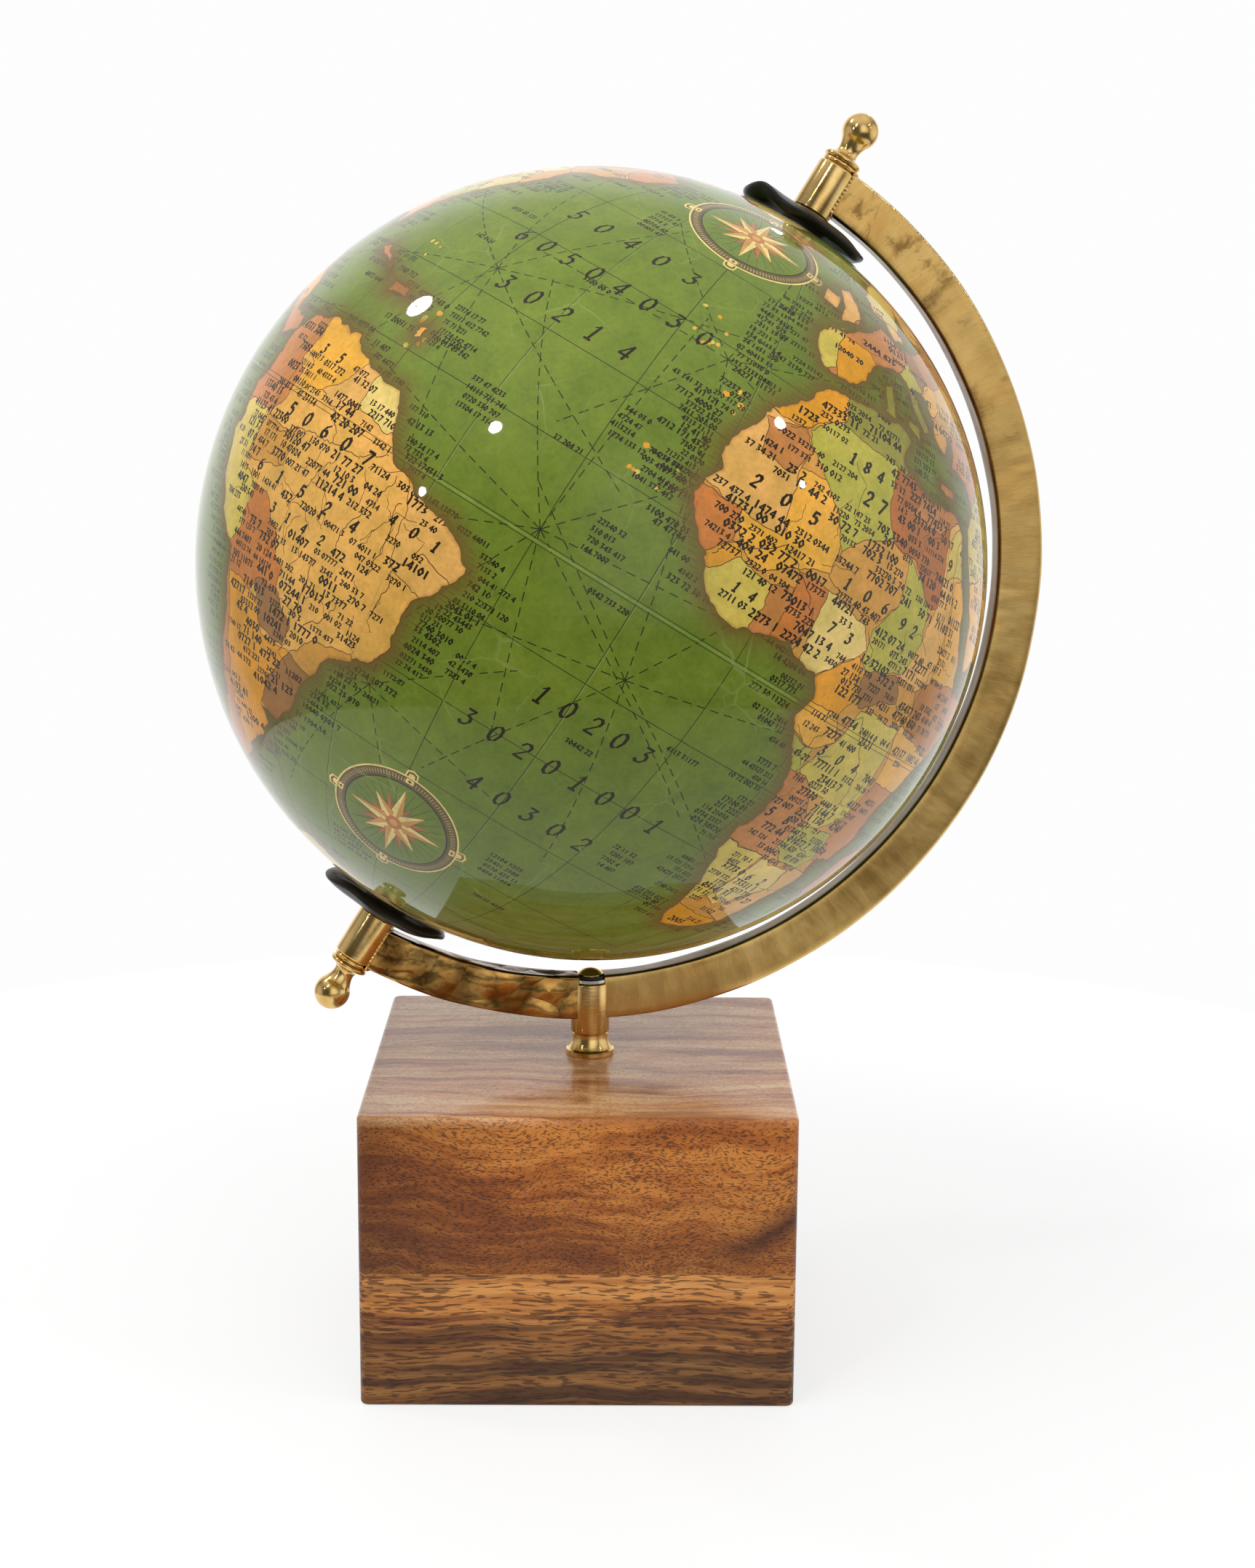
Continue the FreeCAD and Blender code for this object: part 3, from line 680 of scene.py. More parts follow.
def pole_cap(end, place, lips, phase):
    """A rubber disc dished over the map, its rim waved.  Each lip is (where round it, rise in mm, breadth)."""
    low, high, bore, rim = extent(end + "_pole_cap", place)
    clearance = 0.8 * MM
    land = boss_radius + 0.8 * MM
    rings = 26
    around = 120

    def underside(reach):
        return math.sqrt((map_radius + clearance) ** 2 - reach ** 2)

    def heights(share, angle):
        """The reach, and the heights of the lower and upper side, at a share of the way to the rim."""
        reach = bore + (rim - bore) * share
        out = max(0.0, (reach - land) / (rim - land))
        raised = 0.25 * MM * (math.sin(4 * angle + phase) + math.sin(7 * angle + 2 * phase) + 1.6) * out ** 2
        for lip_angle, lift, breadth in lips:
            from_lip = (angle - lip_angle + math.pi) % math.tau - math.pi
            raised += lift * MM * math.exp(-(from_lip / breadth) ** 2) * max(0.0, (out - 0.35) / 0.65) ** 1.8
        thickness = (2.6 + 1.0 * math.sin(math.pi * min(1.0, out * 1.1))) * MM
        rounding = max(0.0, (share - 0.86) / 0.14)
        edge = thickness * (1 - math.sqrt(1 - min(1.0, rounding) ** 2)) / 2
        bottom = max(underside(reach), low) + raised
        top = high if out <= 0 else min(bottom + thickness, high + raised + 0.4 * MM * math.sin(math.pi * out))
        return reach, bottom + edge, top - edge * 0.98

    points = []
    faces = []
    for upper in (False, True):
        for ring in range(rings + 1):
            for k in range(around):
                angle = math.tau * k / around
                reach, bottom, top = heights(math.sin(math.pi / 2 * ring / rings), angle)
                points.append(place @ Vector((reach * math.cos(angle), reach * math.sin(angle),
                                              top if upper else bottom)))
    half = (rings + 1) * around
    for ring in range(rings):
        for k in range(around):
            after = (k + 1) % around
            a, b = ring * around + k, ring * around + after
            c, d = a + around, b + around
            faces.append((a, b, d, c))
            faces.append((half + a, half + c, half + d, half + b))
    for k in range(around):
        after = (k + 1) % around
        faces.append((k, half + k, half + after, after))
        rim_k, rim_after = rings * around + k, rings * around + after
        faces.append((rim_k, rim_after, half + rim_after, half + rim_k))
    made = piece(end + "_cap", points, faces, RUBBER, "arm", [end + "_pole_cap"])
    made.data.set_sharp_from_angle(angle=math.radians(60))
    return made


pole_cap("north", north_end, [(math.radians(208), 1.9, 0.45), (math.radians(-12), 0.9, 0.35)], 0.6)
pole_cap("south", south_end, [(math.radians(10), 1.4, 0.5)], 2.1)

# ---- the print: how it is drawn --------------------------------------------------------

GORES = 12
FIRST_SEAM = -16.0
MAP_TURN = -77.5
SEAM_INSET = 0.0113
GORE_END = 83.0
DEGREE = math.radians(1) * map_radius / MM      # millimetres of map in a degree of latitude

ANYWHERE = "anywhere"
ON_LAND = "on land"
AT_SEA = "at sea"

SEA = colour(102, 121, 34)
INK = colour(34, 26, 12)
BROWN_INK = colour(84, 50, 22)
SEA_INK = colour(40, 48, 16)
CREASE = colour(120, 140, 62)
CREAM = colour(226, 200, 120)
ORANGE = colour(212, 146, 30)
GOLD = colour(220, 162, 54)
YELLOW = colour(198, 176, 76)
PALE = colour(212, 186, 104)
TAN = colour(196, 142, 58)
LIGHT_TAN = colour(212, 162, 84)
OCHRE = colour(214, 162, 76)
BROWN = colour(150, 104, 52)
ROSE = colour(184, 121, 60)
BRICK = colour(166, 98, 38)
RED = colour(192, 116, 48)
LIME = colour(168, 161, 58)
OLIVE = colour(136, 132, 48)

shapes = []             # (outline, colour, where, west, east), later ones lie over earlier ones
coast_points = []       # unit vectors along every coast
land_outlines = []      # the unroughened continents, for placing marks


def on_globe(lon, lat):
    """The unit vector, in the polar frame, of a place on the map."""
    turn = math.radians(lon + MAP_TURN)
    up = math.radians(lat)
    return Vector((math.cos(up) * math.cos(turn), math.cos(up) * math.sin(turn), math.sin(up)))


def narrowing(lat):
    return max(math.cos(math.radians(lat)), 0.08)


def add_shape(outline, tint, where=ANYWHERE):
    area = sum(a[0] * b[1] - b[0] * a[1] for a, b in zip(outline, outline[1:] + outline[:1]))
    if abs(area) < 1e-5:
        return
    if area < 0:
        outline = outline[::-1]
    lons = [spot[0] for spot in outline]
    shapes.append((outline, tint, where, min(lons), max(lons)))


def add_line(points, width, tint, where=ANYWHERE, closed=False):
    """A mitred line along points, its width in millimetres, as one small shape for each stretch."""
    if closed:
        points = points + points[:1]
    count = len(points)
    sides = []
    for k in range(count):
        here = points[k]
        before = points[k - 1] if k > 0 else (points[-2] if closed else None)
        after = points[k + 1] if k < count - 1 else (points[1] if closed else None)
        squeeze = narrowing(here[1])
        total = Vector((0, 0))
        for start, end in ((before, here), (here, after)):
            if start is None or end is None:
                continue
            step = Vector(((end[0] - start[0]) * squeeze, end[1] - start[1]))
            if step.length > 1e-9:
                total += step.normalized()
        if total.length < 1e-6:
            total = Vector((1, 0))
        across = Vector((-total.y, total.x)).normalized() * (width / 2 / DEGREE)
        sides.append(((here[0] + across.x / squeeze, here[1] + across.y),
                      (here[0] - across.x / squeeze, here[1] - across.y)))
    for (a, b), (c, d) in zip(sides, sides[1:]):
        add_shape([a, b, d, c], tint, where)


def split_edges(points, step, closed=True):
    """The same outline with no edge longer than a step, in degrees."""
    ends = points[1:] + points[:1] if closed else points[1:]
    fine = []
    for here, after in zip(points, ends):
        gap = math.hypot((after[0] - here[0]) * narrowing(here[1]), after[1] - here[1])
        pieces = max(1, math.ceil(gap / step))
        for k in range(pieces):
            share = k / pieces
            fine.append((here[0] + (after[0] - here[0]) * share, here[1] + (after[1] - here[1]) * share))
    if not closed:
        fine.append(points[-1])
    return fine


def roughened(points, strength=1.0, step=0.6, closed=True):
    """An outline made ragged.  The same place always moves the same way, so neighbours still meet."""
    ragged = []
    for lon, lat in split_edges(points, step, closed):
        spot = on_globe(lon, lat)
        push = (noise.noise_vector(spot * 10) * 1.0 + noise.noise_vector(spot * 26) * 0.55
                + noise.noise_vector(spot * 70) * 0.36)
        ragged.append((lon + strength * push.x / narrowing(lat), lat + strength * push.y))
    return ragged


def inside(lon, lat, outline):
    """Whether a place is inside an outline."""
    found = False
    for (x1, y1), (x2, y2) in zip(outline, outline[1:] + outline[:1]):
        if (y1 > lat) != (y2 > lat) and lon < x1 + (x2 - x1) * (lat - y1) / (y2 - y1):
            found = not found
    return found


def land_at(lon, lat):
    return any(inside(lon + turn, lat, outline) for outline in land_outlines for turn in (-360, 0, 360))


def land(points, tint, strength=1.0):
    """A continent or island: its fill, its coast line and the places its shading starts from."""
    land_outlines.append(points)
    coast = roughened(points, strength)
    add_shape(coast, tint, "land")
    add_line(coast, 0.34, BROWN_INK, closed=True)
    for lon, lat in split_edges(coast, 0.35):
        coast_points.append(on_globe(lon, lat))


def region(tint, *points):
    """A country: a fill and a border, drawn only where there is land."""
    outline = roughened(list(points), 0.8)
    add_shape(outline, tint, ON_LAND)
    add_line(outline, 0.2, BROWN_INK, ON_LAND, closed=True)


def regions_around(seeds):
    """Countries that share the land between them, each nearest its own seed (lon, lat, colour)."""
    for lon, lat, tint in seeds:
        squeeze = narrowing(lat)
        cell = [(-12 / squeeze, -12), (12 / squeeze, -12), (12 / squeeze, 12), (-12 / squeeze, 12)]
        for other_lon, other_lat, _ in seeds:
            away = Vector(((other_lon - lon) * squeeze, other_lat - lat))
            if away.length < 0.1 or away.length > 30:
                continue
            kept = []
            for here, after in zip(cell, cell[1:] + cell[:1]):
                depth = away.dot(Vector((here[0] * squeeze, here[1]))) - away.length_squared / 2
                depth_after = away.dot(Vector((after[0] * squeeze, after[1]))) - away.length_squared / 2
                if depth <= 0:
                    kept.append(here)
                if (depth <= 0) != (depth_after <= 0):
                    share = depth / (depth - depth_after)
                    kept.append((here[0] + (after[0] - here[0]) * share,
                                 here[1] + (after[1] - here[1]) * share))
            cell = kept
            if len(cell) < 3:
                break
        if len(cell) >= 3:
            region(tint, *[(lon + x, lat + y) for x, y in cell])

# ---- the print: marks and numerals ------------------------------------------------------

# A pen's strokes for each numeral, in a box 0.6 wide and 1 high.
NUMERALS = {
    "0": [[(0.3, 1.0), (0.12, 0.86), (0.04, 0.5), (0.12, 0.14), (0.3, 0.0), (0.48, 0.14), (0.56, 0.5),
           (0.48, 0.86), (0.3, 1.0)]],
    "1": [[(0.12, 0.8), (0.32, 1.0), (0.32, 0.0)], [(0.14, 0.0), (0.5, 0.0)]],
    "2": [[(0.06, 0.74), (0.16, 0.95), (0.36, 1.0), (0.52, 0.84), (0.5, 0.62), (0.06, 0.03), (0.56, 0.03)]],
    "3": [[(0.08, 0.96), (0.5, 0.96), (0.26, 0.6), (0.48, 0.5), (0.54, 0.28), (0.4, 0.05), (0.18, 0.0),
           (0.04, 0.14)]],
    "4": [[(0.42, 0.0), (0.42, 1.0), (0.02, 0.3), (0.58, 0.3)]],
    "5": [[(0.52, 0.97), (0.14, 0.97), (0.1, 0.56), (0.34, 0.62), (0.54, 0.44), (0.5, 0.14), (0.28, 0.0),
           (0.05, 0.1)]],
    "6": [[(0.48, 0.98), (0.2, 0.78), (0.05, 0.4), (0.14, 0.08), (0.34, 0.0), (0.54, 0.16), (0.52, 0.42),
           (0.32, 0.54), (0.1, 0.4)]],
    "7": [[(0.04, 0.97), (0.56, 0.97), (0.22, 0.0)]],
    "8": [[(0.3, 1.0), (0.1, 0.86), (0.14, 0.62), (0.46, 0.42), (0.54, 0.18), (0.3, 0.0), (0.06, 0.18),
           (0.16, 0.44), (0.46, 0.64), (0.5, 0.86), (0.3, 1.0)]],
    "9": [[(0.12, 0.02), (0.4, 0.22), (0.55, 0.6), (0.46, 0.92), (0.26, 1.0), (0.06, 0.84), (0.08, 0.58),
           (0.28, 0.46), (0.5, 0.6)]],
}
PEN_SLANT = math.radians(35)


def pen_stroke(points, lon, lat, height, tint, where, edge=0.06, width=0.13, lean=0.22):
    """One stroke of a broad pen, its box's lower left corner at lon, lat and its height in millimetres.
    Edge and width are the line's least width and what its slope adds, as shares of the height."""
    scale = height / DEGREE
    squeeze = narrowing(lat)
    for (x1, y1), (x2, y2) in zip(points, points[1:]):
        x1, x2 = x1 + lean * y1, x2 + lean * y2
        slope = math.atan2(y2 - y1, x2 - x1)
        half = (edge + width * abs(math.sin(slope - PEN_SLANT))) / 2
        nx, ny = -math.sin(slope) * half, math.cos(slope) * half
        ex, ey = math.cos(slope) * edge * 0.4, math.sin(slope) * edge * 0.4
        corners = [(x1 - ex + nx, y1 - ey + ny), (x1 - ex - nx, y1 - ey - ny),
                   (x2 + ex - nx, y2 + ey - ny), (x2 + ex + nx, y2 + ey + ny)]
        add_shape([(lon + x * scale / squeeze, lat + y * scale) for x, y in corners], tint, where)


def numerals(text, west, east, lat, height, tint=INK, where=ANYWHERE, bold=0.0):
    """Numerals spread evenly along a parallel; bold ones have that share of their height more ink."""
    for k, numeral in enumerate(text):
        share = k / max(1, len(text) - 1)
        lon = west + (east - west) * share
        for stroke in NUMERALS[numeral]:
            pen_stroke(stroke, lon, lat, height, tint, where, edge=0.06 + bold, width=0.13 + bold)


# The same numerals cut down to a few straight strokes, for the smallest print.
SMALL_NUMERALS = (
    [(0.3, 0.0), (0.3, 1.0)],
    [(0.0, 0.95), (0.55, 0.95), (0.2, 0.0)],
    [(0.48, 0.0), (0.48, 1.0), (0.0, 0.32), (0.62, 0.32)],
    [(0.05, 0.95), (0.5, 0.9), (0.48, 0.55), (0.05, 0.05), (0.58, 0.05)],
    [(0.3, 1.0), (0.0, 0.5), (0.3, 0.0), (0.6, 0.5), (0.3, 1.0)],
    [(0.05, 0.95), (0.5, 0.95), (0.2, 0.55), (0.5, 0.25), (0.05, 0.05)],
)


def number_row(lon, lat, count, height, tint, where):
    """A row of small upright numerals in groups, as soundings and heights are printed."""
    step = height / DEGREE / narrowing(lat)
    group = random.randint(3, 6)
    for _ in range(count):
        group -= 1
        if group == 0:
            group = random.randint(3, 6)
            lon += step * 0.45
            continue
        pen_stroke(random.choice(SMALL_NUMERALS), lon, lat, height, tint, where,
                   edge=0.16, width=0.16, lean=0.04)
        lon += step * 0.78


def row_length(marks, height, lat):
    """The degrees of longitude that a row of small numerals takes."""
    return marks * height * 0.75 / DEGREE / narrowing(lat)


def text_block(west, north, east, south):
    """Rows of marks filling a patch of sea, with ragged ends."""
    height = 1.2
    lat = north
    while lat > south:
        count = round((east - west) / row_length(1, height, lat) * random.uniform(0.6, 0.95))
        number_row(west + random.uniform(0, 0.8), lat, count, height, INK, AT_SEA)
        lat -= 1.3


def dashed(points, width, tint, where, dash, gap):
    """A broken line along points; dash and gap in degrees."""
    fine = split_edges(points, 0.25, closed=False)
    travelled = 0.0
    run = []
    for here, after in zip(fine, fine[1:]):
        travelled += math.hypot((after[0] - here[0]) * narrowing(here[1]), after[1] - here[1])
        if travelled % (dash + gap) < dash:
            if not run:
                run = [here]
            run.append(after)
        elif run:
            add_line([run[0], run[-1]], width, tint, where)
            run = []
    if run:
        add_line([run[0], run[-1]], width, tint, where)


def round_place(lon, lat, x, y, turn=0.0):
    """The place x and y millimetres right of and above a place on the map, measured on the globe."""
    ahead = Vector((x * math.cos(turn) - y * math.sin(turn), x * math.sin(turn) + y * math.cos(turn)))
    middle = on_globe(lon, lat)
    east = Vector((0, 0, 1)).cross(middle).normalized()
    north = middle.cross(east)
    spread = ahead.length * MM / map_radius
    if spread < 1e-9:
        return lon, lat
    way = (east * ahead.x + north * ahead.y).normalized()
    spot = middle * math.cos(spread) + way * math.sin(spread)
    found = math.degrees(math.atan2(spot.y, spot.x)) - MAP_TURN
    while found - lon > 180:
        found -= 360
    while found - lon < -180:
        found += 360
    return found, math.degrees(math.asin(spot.z))


def compass_rose(lon, lat, radius, turn=0.0):
    """A graduated ring with four tabs, and a star of long and short points."""
    def circle(size, tint):
        add_shape([round_place(lon, lat, size * math.cos(a * math.tau / 90),
                               size * math.sin(a * math.tau / 90))
                   for a in range(90)], tint)

    def shape(points, angle, tint):
        add_shape([round_place(lon, lat, x, y, angle) for x, y in points], tint)

    ring_ink = colour(96, 82, 44)
    for tab in range(4):
        angle = turn + tab * math.pi / 2
        for size, tint in ((1.0, CREAM), (0.78, ring_ink), (0.5, CREAM)):
            half = 1.9 * size
            shape([(-half, radius - half), (half, radius - half), (half * 0.8, radius + half * 0.9),
                   (0, radius + half * 1.2), (-half * 0.8, radius + half * 0.9)], angle, tint)
    circle(radius, CREAM)
    circle(radius - 0.45, ring_ink)
    circle(radius - 2.9, colour(50, 42, 22))
    circle(radius - 3.3, SEA)
    for k in range(120):
        angle = math.tau * k / 120
        shape([(-0.16, radius - 2.2), (0.16, radius - 2.2), (0.16, radius - 1.0), (-0.16, radius - 1.0)],
              angle, colour(160, 140, 88))
    for k in range(4):
        angle = turn + k * math.pi / 2
        shape([(-1.0, radius - 2.1), (1.0, radius - 2.1), (1.0, radius - 0.7), (-1.0, radius - 0.7)],
              angle, CREAM)
        shape([(0, radius - 1.9), (0.6, radius - 1.4), (0, radius - 0.9), (-0.6, radius - 1.4)],
              angle, ring_ink)
    for k in range(32):
        angle = turn + math.tau * k / 32
        shape([(-0.06, 3), (0.06, 3), (0.06, radius - 4.2), (-0.06, radius - 4.2)], angle, SEA_INK)
    for points, length, waist, lit, shaded, start in (
            (8, radius * 0.60, 1.5, colour(176, 112, 52), colour(150, 92, 42), math.pi / 8),
            (8, radius * 0.74, 1.8, colour(230, 204, 128), colour(200, 142, 72), 0.0)):
        for k in range(points):
            angle = turn + start + math.tau * k / points
            reach = length if k % 2 == 0 else length * 0.78
            shape([(0, 1.0), (waist, 3.0), (0, reach)], angle, shaded)
            shape([(0, 1.0), (0, reach), (-waist, 3.0)], angle, lit)
            tip = round_place(lon, lat, 0, reach, angle)
            side = round_place(lon, lat, -waist, 3.0, angle)
            other = round_place(lon, lat, waist, 3.0, angle)
            add_line([side, tip, other], 0.14, BROWN_INK)
    circle_size = 2.2
    add_shape([round_place(lon, lat, circle_size * math.cos(a * math.tau / 24),
                           circle_size * math.sin(a * math.tau / 24)) for a in range(24)],
              colour(178, 116, 54))
    add_shape([round_place(lon, lat, 1.1 * math.cos(a * math.tau / 16), 1.1 * math.sin(a * math.tau / 16))
               for a in range(16)], colour(206, 150, 76))

# ---- the print: the map -----------------------------------------------------------------

random.seed(11)
noise.seed_set(7)       # without this the noise vectors start from the clock

# light creases where the paper was joined and folded
for k in range(GORES):
    seam = FIRST_SEAM + 30 * k
    add_line([(seam + 0.15, lat) for lat in range(-82, 83, 4)], 0.22, CREASE, AT_SEA)

# parallels and meridians
for lat in (-60, -48, -36, -24, -12, 12, 24, 36, 48, 60):
    add_line([(lon, lat) for lon in range(-180, 181, 3)], 0.2, SEA_INK, AT_SEA)
for lon in range(-166, 194, 15):
    add_line([(lon, lat) for lat in range(-81, 82, 3)], 0.2, SEA_INK, AT_SEA)

# courses that ships steer by, fanned out from a few points at sea
for lon, lat, rays, length, start in ((-31, 1.5, 9, 44, 0.1), (-60, 28, 8, 44, 0.3), (-12, -9, 8, 40, 0.2),
                                      (-22, 34, 7, 34, 0.5), (-42, -28, 7, 30, 0.7),
                                      (70, -20, 16, 40, 0.1), (170, 20, 16, 42, 0.2),
                                      (-150, -12, 16, 44, 0.3), (-112, 8, 12, 36, 0.1),
                                      (118, -8, 10, 30, 0.4),
                                      (-150, 34, 14, 36, 0.0)):
    for k in range(rays):
        angle = start + math.tau * k / rays + random.uniform(-0.05, 0.05)
        reach = length * random.uniform(0.6, 1.0)
        end = (lon + math.cos(angle) * reach / narrowing(lat + math.sin(angle) * reach / 2),
               lat + math.sin(angle) * reach)
        dashed([(lon, lat), end], 0.27, SEA_INK, AT_SEA, 1.25, 0.75)

land([(-80, 10), (-77, 11.5), (-73, 10.5), (-70, 11), (-68, 9.5), (-65, 7.5), (-62, 7), (-58, 6.5), (-56, 4),
      (-54, 1), (-52, -1), (-50, -1.5), (-48, -3), (-44, -3), (-42, -4), (-38, -5.5), (-36.5, -8), (-38, -12),
      (-40.5, -15), (-41, -18), (-41, -22), (-43, -25.5), (-47, -27.5), (-49.5, -28.5), (-51.5, -32),
      (-54, -35), (-56, -38.5), (-60, -42), (-64, -42.5), (-62.5, -45), (-65, -47.5), (-70, -49), (-74, -53),
      (-82, -57), (-85, -52), (-80, -45), (-79, -40), (-77, -33), (-76.5, -27), (-76, -23), (-79, -21),
      (-82, -19), (-84, -15), (-87, -11), (-88.5, -9), (-86, -7), (-88, -2), (-86, 0), (-85, 4), (-86, 7),
      (-83, 9.5), (-81, 10)], OCHRE)
land([(-3, 40), (-7, 38), (-8.5, 35), (-10.5, 33), (-13, 30.5), (-14, 28.5), (-15.5, 26), (-16, 23),
      (-15.5, 20), (-16.5, 17), (-16, 14), (-13, 10.5), (-11, 7.5), (-6, 4.5), (-1, 4.7), (4.5, 6), (7, 4.5),
      (10, 4), (12, 1.5), (11.5, -1.5), (13, -4.5), (15, -7), (16, -10.5), (16.5, -15), (15.5, -19.5),
      (17, -24), (19, -27.5), (20.5, -31), (22, -34.5), (23, -37.5), (25, -38.8), (29, -38), (32.5, -36),
      (34, -34), (35, -31), (36.5, -26), (37, -21), (36, -17.5), (39.5, -17), (40, -13), (39, -9), (40, -5),
      (43, 0), (47, 5), (51.5, 11.5), (47, 12), (43, 12), (41, 15), (38, 20), (35, 27), (33, 31.5),
      (30, 33.5),
      (27, 34), (22, 33.5), (18, 34.5), (14, 36), (14, 40), (12, 41), (10, 40.5), (5, 40.5), (0, 40)], TAN)
land([(-8, 50.5), (-9, 46), (-8, 43), (-5, 41.5), (-1, 42.5), (2, 45), (5, 48), (8, 50), (11, 50.5),
      (14, 49.5),
      (16, 46), (19, 43), (21, 43.5), (18, 46.5), (17, 49.5), (20, 49.5), (22, 46.5), (24, 43), (27, 42),
      (28.5, 45), (31, 45), (30, 41), (35, 40), (38, 38), (36, 33), (38, 28), (41, 22), (45, 15), (52, 18),
      (58, 23), (56, 26), (51, 28), (49, 31), (55, 28), (61, 26), (67, 24.5), (70, 21.5), (73, 18), (75, 12),
      (78, 9), (80, 13), (81, 16.5), (87, 21.5), (91, 22.5), (94, 18), (98, 15), (99, 9), (103, 2), (104, 4),
      (101, 9), (101, 13), (105, 10), (109, 13), (106, 19), (109, 21.5), (115, 23), (120, 27), (121.5, 32),
      (119, 35), (122, 40), (126, 39), (127, 35), (129.5, 37), (129, 42), (136, 45), (141, 52), (143, 58),
      (154, 60), (156, 53), (160, 57), (164, 62), (174, 63), (178, 67), (168, 70), (150, 71), (138, 73),
      (122, 74), (108, 76), (92, 74), (76, 71), (68, 69), (58, 69), (44, 68), (38, 65), (34, 67), (41, 69),
      (30, 72), (20, 72), (12, 68), (5, 64), (6, 60), (11, 60), (13, 57), (17, 58), (19, 63), (23, 66),
      (22, 61), (28, 60), (22, 57), (14, 55.5), (9, 57), (6, 55), (1, 53), (-3, 51.5)], ROSE)
land([(-168, 66), (-160, 71), (-140, 70.5), (-125, 71), (-110, 69), (-97, 71), (-90, 70), (-92, 64),
      (-101, 59.5),
      (-97, 56.5), (-90, 53), (-86, 58), (-84, 64), (-76, 66), (-66, 63), (-66, 58), (-74, 55),
      (-82, 51.5), (-80, 47),
      (-85, 42), (-90, 37), (-92, 32), (-92, 27), (-95, 30), (-101, 30), (-107, 28), (-108, 22), (-105, 18.5),
      (-100, 21), (-98, 17), (-94, 14), (-92, 10), (-87, 9), (-86, 7.5), (-91, 6), (-98, 12), (-106, 16),
      (-112, 20), (-117, 26), (-120, 31), (-116, 24.5), (-119, 28), (-122, 34), (-124, 38), (-127, 46),
      (-132, 54), (-140, 59.5), (-150, 60), (-158, 57), (-162, 60)], LIGHT_TAN)
land([(114, -22), (122, -18), (130, -12), (136, -12.5), (140, -17), (142, -11), (146, -18), (153, -26),
      (151, -34), (145, -39), (138, -35), (131, -32), (122, -34), (115, -34)], TAN)
land([(-52, 72), (-44, 71), (-33, 71.5), (-22, 74), (-18, 79), (-34, 82), (-56, 81.5), (-68, 77)], PALE)
land([(lon, -70 + 4 * math.sin(lon * 0.07) + 2 * math.sin(lon * 0.19)) for lon in range(-180, 180, 12)]
     + [(180, -90), (-180, -90)], PALE)
for island, tint in (
        ([(44, -16), (49, -13), (50, -17), (47, -25), (44, -23)], ROSE),
        ([(-5, 53), (0, 54), (0, 58), (-3, 61), (-6, 60), (-4, 56)], BROWN),
        ([(-10, 55), (-6, 55), (-6, 58), (-9, 58)], BROWN),
        ([(-24, 66.5), (-15, 66), (-15, 69), (-22, 69.5)], BROWN),
        ([(-85, 22.5), (-79, 21.5), (-75, 19.5), (-78, 21), (-83, 23.5)], BROWN),
        ([(-73, 18), (-69, 17.9), (-69.5, 19.2), (-73, 19.6)], BROWN),
        ([(-66.5, 17.4), (-64.8, 17.4), (-64.8, 18.1), (-66.5, 18.1)], BROWN),
        ([(-61.5, 14), (-60.6, 14.2), (-60.8, 15.6), (-61.6, 15.2)], GOLD),
        ([(8, 42), (10, 41.8), (10, 46), (8.2, 45.6)], YELLOW),
        ([(14, 42.2), (17, 41.5), (17, 43.4), (14.2, 43.2)], YELLOW),
        ([(25, 36.4), (29, 36.2), (29, 37.2), (25, 37.2)], YELLOW),
        ([(130, 32), (136, 34.5), (141, 37), (142, 42), (145, 44), (141, 45), (139, 39), (133, 36)], GOLD),
        ([(95, 5.5), (100, 1), (106, -6), (102, -5), (97, 1)], LIME),
        ([(105.5, -6.5), (115, -8), (114, -9), (106, -7.5)], GOLD),
        ([(109, 1.5), (113, 3.5), (117.5, 6.5), (119, 2), (116, -4), (110, -3)], ORANGE),
        ([(119, 1), (125, 1.5), (121, -1), (123, -5), (120, -5)], YELLOW),
        ([(131, -1), (138, -2), (147, -6), (150, -10), (142, -9), (138, -8), (133, -4)], OLIVE),
        ([(120, 18), (122, 18), (124, 13), (126, 7), (122, 8), (120, 14)], ROSE),
        ([(172, -34), (178, -38), (174, -42), (167, -46.5), (172, -41), (174, -38)], OLIVE),
        ([(80, 9.5), (82, 7), (80.5, 6), (79.8, 8)], GOLD),
        ([(-128, 50.5), (-123.5, 48.5), (-126, 49)], BROWN),
        ([(-84, 70), (-72, 69), (-66, 72), (-78, 76), (-88, 75)], OCHRE)):
    land(island, tint, 0.7)
for count, west, south, east, north in ((16, -30, 34, -22, 40), (14, -26, 13, -20, 18),
                                        (10, -20, 27, -13, 31),
                                        (12, -64, 10, -59, 19), (10, -80, 23, -72, 28),
                                        (40, 160, -25, 180, 10),
                                        (40, -178, -24, -140, 22), (12, 50, -22, 60, -5), (8, 68, -8, 74, 12)):
    for _ in range(count // 2):
        lon, lat = random.uniform(west, east), random.uniform(south, north)
        size = random.uniform(0.22, 0.5)
        add_shape([(lon + size * math.cos(a) * random.uniform(0.7, 1.2) / narrowing(lat),
                    lat + size * math.sin(a) * random.uniform(0.7, 1.2))
                   for a in (0, 0.9, 1.8, 2.7, 3.6, 4.5, 5.4)], random.choice((GOLD, YELLOW, ORANGE)), AT_SEA)

